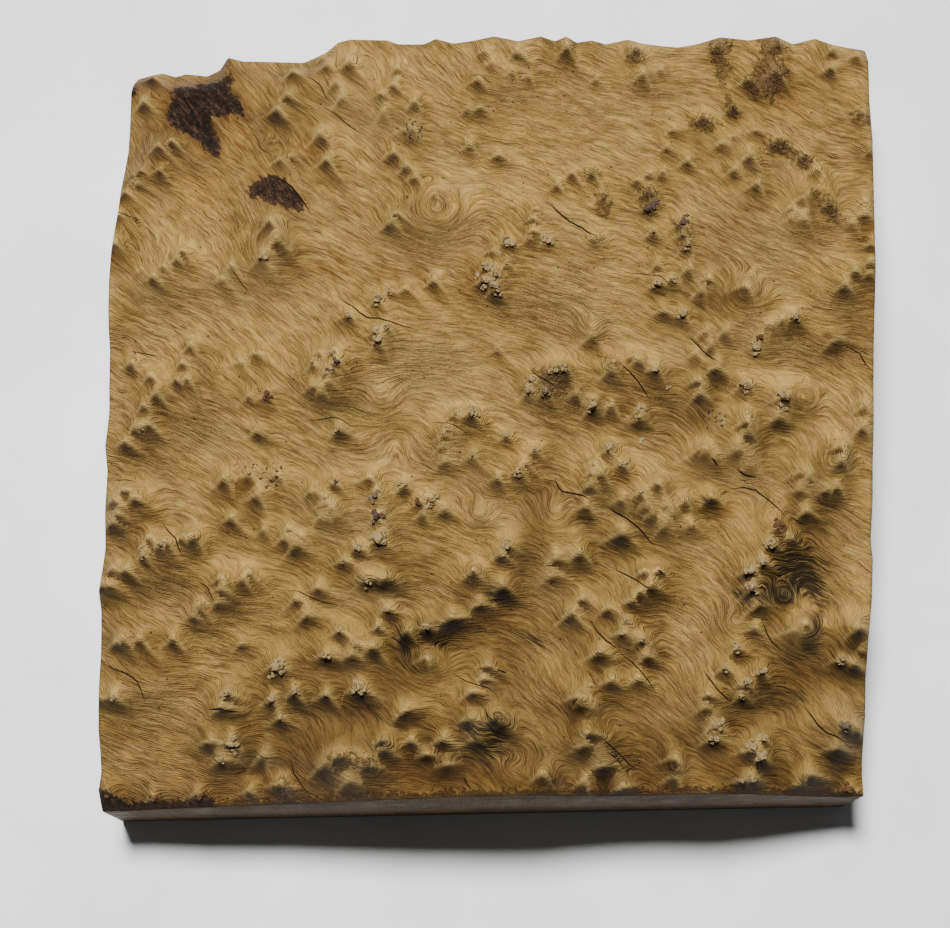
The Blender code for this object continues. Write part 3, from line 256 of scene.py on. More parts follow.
    (-45.4, -31.5, 2.8, 2.6, -25, 8), (-41.5, -31.3, 2.2, 1.6, -20, 5), (-33, -20.8, 3.4, 2.6, -50, 8),
    (-31.3, -26, 3.2, 3, -45, 6), (-30.8, -31.6, 3.4, 3.2, -50, 6), (-30.3, -37.2, 4.2, 4, -40, 6),
    (-24.3, -23, 3.4, 3.4, -30, 4), (-11, -4.9, 2.8, 3, -60, 4), (-6.8, -4.8, 3.6, 4, -50, 6),
    (-13, -8.9, 2.6, 2.8, -30, 5), (-14, -10.8, 2.6, 2.8, -25, 6), (-14.6, -13.2, 2.6, 2.4, -20, 7),
    (-13.8, -16.6, 3, 3, -20, 6), (-6.6, -15.8, 3, 3, -50, 5), (-20, -27, 3.4, 2.8, -50, 5),
    (-17, -26, 3.2, 2.8, -60, 4), (-19.2, -30.2, 2.4, 2.2, -60, 4), (-13.5, -29, 3.4, 3, -40, 5),
    (-35.6, -39.4, 3.4, 3.4, -30, 6), (-39.7, -42.6, 2.8, 3, -20, 6), (-34, -48, 4.4, 4.2, -12, 9),
    (-29, -48.3, 3.4, 3.2, -10, 6), (-46, -49.2, 3.2, 3, -25, 8), (-6.5, -45.8, 3.2, 4, -40, 5),
    (0.5, -41.3, 3, 3.8, -30, 6), (0, -21.3, 2.6, 2.6, -60, 4), (-50, -36, 2.6, 2, -50, 5),
    (-52, -38.5, 3, 3, -20, 6), (1, -49.5, 3.6, 4.2, -30, 5),
    # middle, nearer, right half
    (24.6, -2.2, 3.2, 3.6, -40, 5), (29.5, -1.4, 2.6, 2.4, -60, 6), (37, -3.4, 3.2, 2.6, -60, 4),
    (36.6, -5.2, 3, 3.2, -30, 4), (2.2, -10, 2.8, 3, -50, 4), (9.4, -13.6, 2.8, 2.6, -40, 5),
    (5.2, -19.6, 2.8, 2.6, -50, 5), (7, -17, 3, 2, -50, 8), (28.5, -13.6, 3.2, 3.8, -70, 4),
    (24.3, -17.7, 2.4, 2.4, -60, 3), (32.3, -18.2, 3.2, 3.4, -60, 4), (23.3, -20.4, 2.6, 3, -50, 4),
    (26.5, -20.6, 2.8, 3.2, -60, 5), (23.2, -23.5, 3, 3.4, -40, 4), (36.4, -25.8, 3, 3.2, -60, 4),
    (40.8, -23, 3.6, 4, -70, 5), (31.5, -27.2, 3, 3.6, -60, 4), (22.3, -28.8, 3.2, 3.8, -40, 5),
    (31.5, -35.4, 4.8, 4.4, -40, 5), (37.8, -28.8, 2.6, 2.4, -50, 4), (39.2, -30.8, 2.6, 2.6, -40, 4),
    (42.6, -33.4, 3.2, 3.6, -50, 4), (44.6, -30.6, 2.8, 3, -60, 4), (43, -28.4, 2.4, 2, -60, 4),
    (47.9, -27.4, 3, 3.6, -60, 4), (49.3, -33.2, 3.2, 3.8, -30, 5), (51.5, -14, 3.4, 3.8, -40, 5),
    (2.2, -38.8, 3.6, 3.6, -30, 5), (20.6, -41, 3.4, 4, -40, 5), (14.5, -42.4, 4, 3.6, -10, 7),
    (13.5, -46.4, 4, 3.6, -10, 6), (37, -45.2, 2.8, 2.8, -40, 5), (41, -44.7, 2.6, 2.4, -40, 5),
    (38.5, -49.3, 3.2, 3.8, -20, 6), (35.5, -51, 3, 3.4, -30, 5), (21.3, -52, 3, 3.6, -40, 5),
    (33.5, -53, 3, 3.2, -30, 5),
    # right side, nearer than the middle
    (64.5, -4.2, 3.2, 3.4, -50, 5), (63.5, -6.8, 3, 3.2, -40, 4), (64.3, -9.6, 3.2, 3.6, -40, 4),
    (72.5, -4.6, 3.6, 3.4, -20, 5), (61.3, -13.8, 4, 4.2, -30, 5), (65, -16.8, 4.8, 3.6, -40, 5),
    (53, -14.8, 4, 4, -40, 5), (56, -16.5, 2.6, 2.4, -30, 4), (95.6, -1, 2.8, 3, -70, 4),
    (94.6, -6.8, 3.4, 3.6, -60, 4), (88.2, -12.6, 2.6, 3, -60, 4), (89.8, -11.8, 2.2, 2.4, -70, 4),
    (88.6, -16, 3, 3.2, -60, 4), (78, -18.6, 3.4, 2.4, -40, 6), (78, -22.8, 3.4, 2.6, -40, 6),
    (80, -20, 2.4, 2.2, -50, 6), (84.8, -23.2, 2.8, 3.2, -50, 4), (87.6, -22.6, 2.8, 3.4, -50, 4),
    (79.5, -28.5, 3.4, 3.4, -25, 6), (71.5, -33.5, 3.6, 3, -40, 6), (69.5, -38.2, 3.4, 3.4, -30, 6),
    (67, -43.2, 3, 3.2, -20, 6), (63.5, -45.2, 3, 3.4, -20, 6), (64.5, -49.4, 3.6, 3.8, -30, 6),
    (54.5, -25.8, 4.4, 4.2, -30, 5), (75.5, -36, 3, 2, -40, 6), (73, -50, 3.4, 2, -40, 4),
    # near side, left of the middle
    (-97.3, -62.3, 2.8, 3, -45, 7), (-95.3, -61.9, 2.4, 2.6, -50, 8), (-91.3, -61.8, 2.6, 3, -50, 9),
    (-82.6, -61.8, 3.2, 3.8, -50, 6), (-77.4, -56, 3, 3.4, -40, 5), (-75.8, -54.3, 2.6, 3, -50, 6),
    (-98, -76, 3.4, 3.4, -40, 6), (-102, -75.8, 2.6, 2.6, -40, 5), (-68.5, -76, 3.6, 3.6, -20, 6),
    (-70, -79.6, 3.4, 3.4, -8, 8), (-57, -77.6, 3.2, 3.4, -60, 4), (-55, -82, 3, 2.8, -30, 5),
    (-56, -69, 4, 3.8, -30, 5), (-51.3, -76, 3.2, 3.6, -50, 5), (-73.3, -87.6, 3, 2.6, -15, 5),
    (-67.3, -87.6, 3.4, 3.2, -50, 5), (-70, -92.2, 3.6, 3.4, -10, 7), (-62.8, -99.3, 2.8, 2.6, -60, 3),
    (-55, -98, 4.4, 3.2, -30, 6), (-65.5, -63, 2.8, 2, -10, 5), (-49, -56.3, 3.4, 3.4, -8, 7),
    (-59, -91.2, 4.5, 3.4, -90, 3), (-28, -54.9, 3.4, 3.2, -15, 5), (-30.5, -59.2, 2.6, 3, -40, 5),
    (-40, -60.6, 3.2, 3.4, -40, 6), (-35.5, -64, 2.6, 2.8, -50, 6), (-43.5, -66.8, 3.4, 3.4, -20, 7),
    (-37, -66.6, 3, 3.2, -30, 6), (-31.5, -64.8, 3.4, 4.4, -50, 7), (-18, -59.2, 2.8, 2.8, -20, 4),
    (-12, -57.2, 4.6, 3.4, 0, 8), (-23, -60.3, 3.2, 3.4, -60, 4), (-18, -66.8, 3.2, 3.4, -90, 3),
    (-35, -75, 4.4, 4, -30, 7), (-43.2, -76.4, 3.2, 3.2, -50, 6), (-24, -80.8, 4.4, 3.6, 10, 6),
    (-28.5, -88, 3.6, 3.6, -40, 5), (-28.5, -90.3, 3.2, 3, -30, 5), (-22, -87.6, 2.8, 2.4, -40, 4),
    (-40, -92, 4.6, 3.4, -10, 6), (-43.5, -94, 4.4, 3.4, -50, 6), (-33, -94, 4.4, 3, -20, 6),
    (-37, -97.5, 4, 2.4, -30, 5), (-18.5, -91.2, 2.6, 2.4, -10, 4), (-14, -87.6, 3.4, 3.4, -30, 8),
    (-5, -88, 4.8, 4.2, -50, 7), (-1, -83, 4, 4.2, -40, 6), (-7.5, -83, 3, 3, -50, 6),
    (-13, -93.5, 4, 1.6, 0, 5), (-7, -76, 3.4, 2.8, -10, 6), (-4, -72.3, 2.8, 2.4, -20, 5),
    (-3, -69, 3, 3.4, -30, 6), (-4.8, -53.6, 3.4, 3.8, -10, 6), (-100, -100, 3.4, 2.4, -30, 6),
    (-88.5, -100.5, 3, 2.2, -60, 4), (-76.5, -100, 3.4, 2.6, -40, 5),
    # near side, right of the middle
    (18.3, -55.8, 3.8, 4, -50, 5), (27.5, -54.8, 3, 3, -30, 5), (32.5, -58.4, 2.6, 2.8, -50, 3),
    (31.3, -61.3, 3.2, 3.4, -40, 5), (36, -62.6, 3, 3.2, -30, 5), (25.3, -66.2, 4, 4.2, -20, 5),
    (37.5, -66.6, 3.2, 3.4, -20, 5), (28.5, -72.8, 3.4, 3.4, -40, 5), (35, -72.3, 3.2, 3.4, -30, 5),
    (23, -74.2, 1.6, 1.2, -20, 3), (19.5, -77.3, 4, 3.2, -15, 7), (20, -79.4, 3.4, 3, -10, 6),
    (22, -86.4, 3.6, 3.4, -10, 7), (21, -89.2, 3.4, 3.2, -10, 6), (26, -93.8, 5, 3.2, 0, 6),
    (44.5, -92, 3.6, 3.4, -70, 6), (44, -96.5, 3, 2.4, -60, 4), (11, -96, 3.6, 2.6, -60, 4),
    (21.5, -97.5, 3.4, 2.8, -80, 4), (31, -99, 4.5, 2.8, 0, 4), (0.5, -84.5, 3.4, 3.4, -30, 5),
    (52.5, -76.5, 3.4, 3.4, -20, 5), (51.5, -79.6, 3, 3, -10, 5), (75, -60, 4.6, 3.8, -50, 5),
    (78.5, -58, 3.6, 2.8, -60, 5), (60.5, -64.4, 3.4, 3.6, -20, 5), (57.3, -69.4, 3, 3, -40, 4),
    (66.8, -70, 3.2, 3.4, -50, 4), (62.3, -73.4, 3.4, 3, -40, 5), (61.3, -76.2, 2.8, 3, -30, 5),
    (54.5, -84, 4, 3.6, -30, 5), (54, -87, 3.4, 3.2, -20, 5), (63.5, -89.8, 4.2, 3.8, -40, 4),
    (66, -92, 3.2, 3.4, -20, 4), (67, -86.8, 2.8, 2.8, -40, 4), (61.5, -97.2, 3, 3, -20, 5),
    (64, -96.6, 2.8, 3, -20, 4), (79.5, -95, 3.6, 3.4, -15, 7), (77, -97.4, 3.4, 3.2, -5, 8),
    (88.5, -83, 4, 3, -20, 6), (86.5, -88.5, 4, 3.8, -10, 7), (92.5, -83.5, 3, 2.8, -30, 4),
    (91, -98, 3.6, 2.4, -30, 5), (88, -66.2, 3, 2.8, -30, 5), (92, -67.2, 3.4, 3.2, -20, 5),
    (92.5, -58.3, 4.4, 3.6, -10, 6), (65.5, -58.8, 3, 3, -50, 4), (66, -53.3, 4, 3.2, -10, 6),
    (95, -63, 3, 2.6, -60, 4),
]

# %% [markdown]
# ## The height of the skin
#
# A burl could be sculpted by hand, but then no one could say why a knob is where it is. Here the height is
# worked out from the lists above, as the sum of a broad dome, the swells and the knobs. A knob is the sum
# of three shapes: a low mound drawn out into the tail, a blunt thorn at the head, and a thin fin along the
# tail. Swells and knobs are a little steeper on their near side, because that is how the real ones lean.

# %% The parts of the height
SWELL_SHARE = 1.3
SWELL_DROP = 1.0
BLUNT = 0.42
MOUND_SHARE, THORN_SHARE, FIN_SHARE = 0.55, 0.56, 0.22


def through(near, middle, far, place):
    """Smooth value through three heights, place running from -1 (near) to 1 (far)."""
    return middle + (far - near) / 2 * place + ((near + far) / 2 - middle) * place * place


def dome(x, y):
    across = x / HALF_WIDTH
    away = y / HALF_DEPTH
    left = through(*LEFT_HEIGHTS, away)
    middle = through(*MIDDLE_HEIGHTS, away)
    right = through(*RIGHT_HEIGHTS, away)
    return through(left, middle, right, across)


def swells(x, y):
    total = np.zeros_like(x)
    for centre_x, centre_y, half_x, half_y, rise in SWELLS:
        dx = (x - centre_x) / half_x
        dy = (y - centre_y) / half_y
        dy = np.where(dy < 0, dy * 1.25, dy)
        total += rise * np.exp(-((dx * dx + dy * dy) ** 1.25))
    return SWELL_SHARE * total - SWELL_DROP


def knobs(x, y):
    total = np.zeros_like(x)
    for head_x, head_y, width, rise, heading, tail in KNOBS:
        turn = math.radians(heading)
        dx = x - head_x
        dy = y - head_y
        along = dx * math.cos(turn) + dy * math.sin(turn)
        across = dy * math.cos(turn) - dx * math.sin(turn)
        across = np.where(across * math.cos(turn) < 0, 1.4 * across, 0.85 * across)
        reach = np.where(along < 0, 0.6 * width, 0.4 * width + 0.6 * tail)
        mound = np.exp(-((along / reach) ** 2) - (across / (0.62 * width)) ** 2)
        depth = np.where(dy < 0, 0.38 * width, 0.75 * width)
        away = np.hypot(dx / (0.5 * width), dy / depth)
        thorn = np.exp(BLUNT - np.hypot(away, BLUNT))
        fin = np.exp(-(((along - 0.4 * tail) / (0.65 * tail)) ** 2) - np.abs(across) / (0.34 * width))
        total += rise * (MOUND_SHARE * mound + THORN_SHARE * thorn + FIN_SHARE * fin)
    return total


# %% [markdown]
# ## Pulling the skin to its cut edges
#
# The sum is close to the real height but not exact. Along each saw cut the real height is known, so the gap
# is worked out there and added back, fading to nothing a centimetre in. At a corner two cuts share the same
# gap, so it is taken off once.

# %% Height over the whole slab
def cut_height(cut, place):
    table = np.array(cut, float)
    return np.interp(place, table[:, 0], table[:, 1])


def fade(distance):
    t = np.clip(distance / CUT_REACH, 0, 1)
    return 1 - t * t * (3 - 2 * t)


def plan(a, b):
    """Place on the slab for a and b, which run from 0 to 1 across it and away from the camera."""
    places = []
    for axis in (0, 1):
        near = NEAR_LEFT[axis] * (1 - a) + NEAR_RIGHT[axis] * a
        far = FAR_LEFT[axis] * (1 - a) + FAR_RIGHT[axis] * a
        places.append(near * (1 - b) + far * b)
    return places


def pull_to_cuts(a, b, x, y, z):
    gap_near = cut_height(NEAR_CUT, x[0]) - z[0]
    gap_far = cut_height(FAR_CUT, x[-1]) - z[-1]
    gap_left = cut_height(LEFT_CUT, y[:, 0]) - z[:, 0]
    gap_right = cut_height(RIGHT_CUT, y[:, -1]) - z[:, -1]
    for row, column, gap_row, gap_column in (
        (0, 0, gap_near, gap_left), (0, -1, gap_near, gap_right),
        (-1, 0, gap_far, gap_left), (-1, -1, gap_far, gap_right),
    ):
        middle = (gap_row[column] + gap_column[row]) / 2
        gap_row[column] = middle
        gap_column[row] = middle
    span_x = x[:, -1:] - x[:, :1]
    span_y = y[-1:] - y[:1]
    w_left = fade(a * span_x)
    w_right = fade((1 - a) * span_x)
    w_near = fade(b * span_y)
    w_far = fade((1 - b) * span_y)
    z = z + w_near * gap_near + w_far * gap_far
    z = z + w_left * gap_left[:, None] + w_right * gap_right[:, None]
    z = z - w_near * w_left * gap_near[0] - w_near * w_right * gap_near[-1]
    return z - w_far * w_left * gap_far[0] - w_far * w_right * gap_far[-1]


# %% [markdown]
# ## The burl itself
#
# The skin starts as a flat grid. Each of its points is then moved to its place on the slab and raised to the
# height worked out above, which is the same as sculpting but repeatable. The rim is extruded down to the
# base plane to make the four sawn sides, and the hole below is filled to make the sawn base, so the piece is
# closed like the real one. The last row of points is a little lower, because a sawn arris is never sharp.

# %% Grid raised to the skin
CELLS = 304
ARRIS = 0.35

bpy.ops.mesh.primitive_grid_add(x_subdivisions=CELLS, y_subdivisions=CELLS, size=1.0, location=(0, 0, 0))
burl = bpy.context.active_object
burl.name = "burl"
places = np.empty(len(burl.data.vertices) * 3)
burl.data.vertices.foreach_get("co", places)
places = places.reshape(-1, 3)
order = np.lexsort((np.round(places[:, 0], 5), np.round(places[:, 1], 5)))
side_count = CELLS + 1
a = (places[order, 0] + 0.5).reshape(side_count, side_count)
b = (places[order, 1] + 0.5).reshape(side_count, side_count)
x, y = plan(a, b)
knob_rise = knobs(x, y)
swell_rise = swells(x, y)
z = pull_to_cuts(a, b, x, y, dome(x, y) + swell_rise + knob_rise)
z[0] -= ARRIS
z[-1] -= ARRIS
z[:, 0] -= ARRIS
z[:, -1] -= ARRIS
places[order, 0] = x.ravel() * MILLIMETRE
places[order, 1] = y.ravel() * MILLIMETRE
places[order, 2] = z.ravel() * MILLIMETRE
burl.data.vertices.foreach_set("co", places.ravel())
burl.data.update()
print("skin points", len(burl.data.vertices), "height", round(z.min(), 1), "to", round(z.max(), 1))

# %% [markdown]
# ## Which way the grain runs
#
# On the bare skin the grain shows as fine wavy lines. They run roughly from left to right, lean down to the
# right in places, and bend round every knob. They are drawn as the level lines of one smooth value, like
# contours on a map: about a hundred directions are given, a value is found whose contours follow them
# as closely as possible, and the height of the knobs and swells is added to it so that the contours bend
# round them. The value is kept on the mesh as an attribute, and the material turns it into lines.

# %% Directions of the grain: place across, place away, degrees from left to right
GRAIN = [
    (-95, 95, -50), (-85, 80, -55), (-90, 62, -45), (-72, 88, -50), (-60, 80, -45), (-68, 62, -50),
    (-45, 62, -52), (-45, 90, -45), (-36, 74, -70), (-30, 95, -45), (-28, 82, -35), (-15, 72, -10),
    (0, 76, 0), (-15, 92, -50), (8, 97, -35), (20, 80, -8), (32, 70, -35), (18, 62, -35), (35, 95, -20),
    (52, 92, 5), (45, 80, -10), (70, 80, -45), (85, 76, -25), (95, 88, -40), (80, 62, -5), (96, 64, -15),
    (50, 70, -45), (60, 52, -45), (72, 50, -50), (90, 46, -20), (76, 38, -60), (92, 25, 0), (92, 8, -40),
    (70, 10, 0), (84, 28, -10), (60, 40, -50), (40, 20, 0), (38, 48, 0), (28, 30, -60), (20, 46, -35),
    (8, 28, -5), (14, 20, -15), (2, 46, -15), (-8, 42, -60), (-20, 38, -10), (-10, 22, -20), (-22, 8, 0),
    (-30, 40, -20), (-45, 45, -50), (-60, 22, -5), (-52, 30, -50), (-80, 46, -50), (-90, 25, -15),
    (-72, 28, -20), (-74, 10, -75), (-95, 18, -5), (-60, 8, -50), (-84, -14, -12), (-70, -8, -50),
    (-80, -26, -25), (-98, -18, -5), (-55, -8, -20), (-32, -14, 0), (-52, -24, -40), (-24, -6, 35),
    (-10, 2, -15), (-2, -12, -35), (10, -5, -18), (24, -9, -15), (40, -9, -8), (48, -10, -50), (30, 14, -30),
    (68, -12, 5), (85, -8, -60), (92, -28, 0), (60, -45, -35), (90, -42, -30), (48, -40, -20),
    (-30, -42, -5), (-15, -38, -25), (8, -36, 30), (16, -36, -30), (30, -40, -20), (50, -52, -30),
    (-85, -50, -35), (-100, -55, -5), (-88, -66, -40), (-76, -60, 0), (-74, -75, -12), (-90, -84, -15),
    (-64, -58, -10), (-66, -66, -5), (-48, -60, -12), (-45, -74, -25), (-60, -85, -8), (-58, -48, -20),
    (-28, -68, -70), (-20, -76, 0), (-10, -67, 20), (0, -60, -10), (12, -60, -15), (10, -70, -80),
    (6, -78, -50), (22, -70, -35), (44, -62, -30), (46, -76, -42), (60, -60, -45), (76, -70, -12),
    (86, -76, -40), (90, -91, -5), (64, -80, -10), (70, -88, -30), (40, -86, -40), (24, -91, -12),
    (4, -94, -60), (-20, -95, -20), (-36, -86, -40), (-50, -92, -70), (-70, -97, -5), (-92, -94, -25),
    (60, -95, -15), (78, -48, -30), (84, -56, -80),
]
GRAIN_GRID = 44
GRAIN_REACH = 9.0


def grain_angle(x, y):
    """Direction at a place: the nearby directions given above, the nearest counting most."""
    weight = np.full_like(x, 1e-9)
    total = np.zeros_like(x)
    for at_x, at_y, angle in GRAIN:
        near = np.exp(-((x - at_x) ** 2 + (y - at_y) ** 2) / (2 * GRAIN_REACH**2))
        near += 1e-4 / (1 + ((x - at_x) ** 2 + (y - at_y) ** 2) / 400)
        weight += near
        total += near * angle
    return np.radians(total / weight)


# %% Find the value whose contours follow those directions
def grain_value():
    count = GRAIN_GRID
    steps = np.linspace(0, 1, count)
    grid_a, grid_b = np.meshgrid(steps, steps)
    at_x, at_y = plan(grid_a, grid_b)
    angle = grain_angle(at_x, at_y)
    slope_x = -np.sin(angle)
    slope_y = np.cos(angle)
    number = np.arange(count * count).reshape(count, count)
    matrix = np.zeros((count * count, count * count))
    wanted = np.zeros(count * count)
    pairs = (
        (number[:, :-1], number[:, 1:], slope_x[:, :-1], slope_x[:, 1:], at_x[:, 1:] - at_x[:, :-1]),
        (number[:-1], number[1:], slope_y[:-1], slope_y[1:], at_y[1:] - at_y[:-1]),
    )
    for first, second, slope_1, slope_2, gap in pairs:
        first = first.ravel()
        second = second.ravel()
        step = ((slope_1 + slope_2) / 2 * gap).ravel()
        np.add.at(matrix, (first, first), 1.0)
        np.add.at(matrix, (second, second), 1.0)
        np.add.at(matrix, (first, second), -1.0)
        np.add.at(matrix, (second, first), -1.0)
        np.add.at(wanted, second, step)
        np.add.at(wanted, first, -step)
    matrix[0, 0] += 1.0
    return np.linalg.solve(matrix, wanted).reshape(count, count)


def spread_out(coarse, a, b):
    """Coarse grid of values read at finer places."""
    count = coarse.shape[0] - 1
    column = np.clip(a * count, 0, count - 1e-6)
    row = np.clip(b * count, 0, count - 1e-6)
    j = column.astype(int)
    i = row.astype(int)
    s = column - j
    t = row - i
    low = coarse[i, j] * (1 - s) + coarse[i, j + 1] * s
    high = coarse[i + 1, j] * (1 - s) + coarse[i + 1, j + 1] * s
    return low * (1 - t) + high * t


def blurred(grid, radius):
    """Each value becomes the mean of the square of values round it, twice over."""
    for _ in range(2):
        for axis in (0, 1):
            edge = [(0, 0), (0, 0)]
            edge[axis] = (radius + 1, radius)
            wide = np.pad(grid, edge, mode="reflect", reflect_type="odd")
            total = np.cumsum(wide, axis=axis)
            size = grid.shape[axis]
            upper = np.take(total, np.arange(2 * radius + 1, 2 * radius + 1 + size), axis=axis)
            lower = np.take(total, np.arange(0, size), axis=axis)
            grid = (upper - lower) / (2 * radius + 1)
    return grid


# Eyes, where the grain closes into rings: place, half width, how strongly it closes
EYES = [
    (-16.5, 52, 8, 13), (65, 29, 5, 9), (10.8, -96.5, 4, 7), (31, -99, 3, 5), (-14, -93.5, 3.5, 6),
    (72.5, -51, 4, 8), (-18, -66.5, 6, 10), (80, 0.5, 4, 7), (14, -30, 6, 9), (37.5, 98, 3, 5),
    (-62, 75, 2, 3), (3, -96, 4, 5), (-30, 0, 5, 6), (-26, -10, 5, -6), (24, 20, 4, 5), (86, -17, 4, 5),
    (-5, -30, 4, 6), (60, -58, 5, 6), (44, -94, 3, 4), (22, -83, 4, 5), (84, 58, 5, 6), (-60, 42, 5, 6),
    (70, -30, 4, 5), (78, -59, 4, 6),
]
GRAIN_ROUND_KNOBS = 1.15
GRAIN_ROUND_SWELLS = 1.1
grain = blurred(spread_out(grain_value(), a, b), 5)
grain = grain + GRAIN_ROUND_KNOBS * blurred(knob_rise, 1) + GRAIN_ROUND_SWELLS * swell_rise
for eye_x, eye_y, half_width, closing in EYES:
    grain = grain + closing * np.exp(-((x - eye_x) ** 2 + (y - eye_y) ** 2) / half_width**2)
print("grain value from", round(grain.min(), 1), "to", round(grain.max(), 1))

# %% [markdown]
# ## Cracks
#
# As the slab dries it splits along the grain. A crack is only about half a millimetre wide, finer than the
# mesh, so each point of the mesh stores how far it is to the left or right of the nearest crack. That
# distance changes evenly across a face, so the material can draw a sharp thin line where it passes through
# nought, however large the faces are. A second value says whether the point is near a crack at all, and a
# third how wide the crack is there, falling to nothing at both ends.

# %% Cracks: half width, then the places the crack runs through
CRACKS = [
    (0.24, [(-53, 95), (-50, 93.2), (-48, 91), (-46.5, 87.5), (-45.5, 86)]),
    (0.22, [(-46, 84), (-43, 82), (-40, 79.5), (-37, 77.3)]), (0.2, [(-7, 93.5), (-4, 92.3), (-1.5, 90.5)]),
    (0.42, [(-61, 64.5), (-58, 63), (-55, 60.5), (-52.5, 57), (-51, 55), (-49.8, 53)]),
    (0.25, [(-103, 54.8), (-100, 54.3), (-97, 53.3), (-95.5, 51)]),
    (0.2, [(-98.5, 53), (-97, 51.8), (-96, 50.3)]), (0.2, [(-103, 53.5), (-101.5, 52)]),
    (0.36, [(-42, 29.5), (-40, 27.5), (-38.5, 26.5), (-36, 24), (-34, 22.5), (-31, 22), (-29, 21),
         (-26, 20), (-22, 19)]),
    (0.42, [(12.5, 55), (14.5, 54), (16, 52), (18, 50), (19, 49), (22.5, 47), (24.5, 45), (26, 43.2),
         (27.5, 41.5)]), (0.3, [(8.5, 8.5), (10, 6), (12, 5), (15, 3)]), (0.16, [(25.5, 12.7), (29, 10.7)]),
    (0.3, [(30.5, 9.7), (34, 7.5), (36.5, 4.5), (39.5, 0.2)]),
    (0.3, [(50.5, 17.8), (52.5, 15.5), (53.5, 14), (56, 11.8), (58, 10)]),
    (0.18, [(35, 35.3), (39, 35), (43, 34), (46, 31)]),
    (0.25, [(91.5, 15.5), (95, 13.5), (96.5, 10.5), (98, 9)]), (0.2, [(-96, 14.5), (-92, 13.7), (-89, 13)]),
    (0.18, [(-70.5, 37), (-68.5, 34), (-66.5, 31.5), (-65.5, 30.2)]),
    (0.2, [(-100, -19.6), (-96.5, -20), (-94, -20.8)]),
    (0.26, [(-86, -32.2), (-84.3, -34.5), (-82.5, -36.2), (-81.8, -38.5), (-80.7, -40.7)]),
    (0.22, [(-77, -46.8), (-74, -49), (-73, -51.3), (-71.8, -53)]),
    (0.2, [(-49, -4.7), (-46, -4.5), (-43, -4), (-41, -4.5), (-38.5, -6.2), (-36.5, -6.8)]),
    (0.2, [(-17, -6), (-13, -7), (-10.5, -8), (-8, -9.5)]),
    (0.36, [(14.8, -20.5), (15.3, -22.5), (16.5, -24), (20, -25), (22, -25.8), (23.5, -27)]),
    (0.36, [(27, -27.5), (30, -29.7), (33, -31.5), (36, -33.5), (38, -35.5), (40, -38)]),
    (0.28, [(30, -43), (30.5, -44.5), (33, -46), (35.5, -47.8), (37, -49.6), (39.5, -51)]),
    (0.28, [(23.5, -58), (25, -60.5), (27, -62.8), (30, -64.8)]),
    (0.26, [(31, -66), (34, -68), (36, -70), (38, -72.5), (40, -75.5)]),
    (0.3, [(60, -22.3), (64, -21.8), (67, -22.5), (70, -25), (72.5, -27.5), (74.5, -29.8)]),
    (0.24, [(76, -29.8), (78, -31), (79.5, -31.5)]),
    (0.26, [(67.5, -57), (68.5, -60), (70, -62.2), (73, -64.5)]),
    (0.32, [(52, -69.8), (53.7, -72.5), (55.3, -75), (58, -77.3), (60, -78)]),
    (0.32, [(78, -77.8), (79.7, -80), (81.5, -83), (84, -85), (88, -86.4), (91, -88)]),
    (0.25, [(-101, -67.3), (-98, -69), (-94, -70.5), (-91.7, -72.5), (-90.6, -75), (-90, -77)]),
    (0.2, [(-11, -71), (-8, -73), (-5, -74.2), (-2.5, -74.8), (-1, -76)]),
    (0.22, [(-3.3, -80), (-3, -82), (-1.5, -84)]), (0.22, [(-8.8, -96.5), (-8, -98.5), (-6.8, -100)]),
    (0.26, [(65, -93), (66, -96)]), (0.24, [(69.5, -95.3), (71, -95.5)]),
    (0.22, [(-52.5, -92), (-51.5, -95.5), (-49.5, -98.5), (-47.5, -101)]),
    (0.2, [(-54, -49.5), (-51, -49.8), (-48.5, -51), (-45, -52.5), (-40, -53.5)]),
    (0.42, [(-73.4, -79.6), (-70.5, -80), (-68, -80.5), (-65, -80.6)]),
    (0.26, [(25, -87), (28, -89), (31, -91.5), (33, -93.5), (35.5, -94.5)]),
    (0.22, [(27, -90.5), (29.5, -92), (31.5, -94.5)]), (0.3, [(54.5, -16.2), (56.5, -17.5)]),
    (0.34, [(-0.3, -70), (2, -70.8)]), (0.4, [(40.5, -44.8), (42.5, -46)]),
    (0.2, [(12, -43.8), (15, -44.3)]), (0.36, [(61.8, -17.6), (64, -19), (67, -19.7)]),
]
CRACK_OPEN = 0.5
CRACK_REACH = 3.0


def crack_values(x, y):
    side = np.full_like(x, 9.0)
    nearness = np.zeros_like(x)
    width = np.zeros_like(x)
    for half_width, run in CRACKS:
        lengths = [math.dist(run[k], run[k + 1]) for k in range(len(run) - 1)]
        whole = sum(lengths)
        before = 0.0
        for k, length in enumerate(lengths):
            start, end = run[k], run[k + 1]
            step_x = (end[0] - start[0]) / length
            step_y = (end[1] - start[1]) / length
            along = (x - start[0]) * step_x + (y - start[1]) * step_y
            off = (y - start[1]) * step_x - (x - start[0]) * step_y
            held = np.clip(along, 0, length)
            away = np.hypot(along - held, off)
            place = (before + along) / whole
            taper = np.minimum(np.minimum(place, 1 - place) * 4, 1)
            closer = 1 - away / CRACK_REACH > nearness
            side = np.where(closer, off, side)
            width = np.where(closer, CRACK_OPEN * half_width * taper, width)
            nearness = np.where(closer, 1 - away / CRACK_REACH, nearness)
            before += length
    return side, nearness, width


crack_side, crack_nearness, crack_width = crack_values(x, y)
print("cracks", len(CRACKS), "points near one", int((crack_nearness > 0.5).sum()))
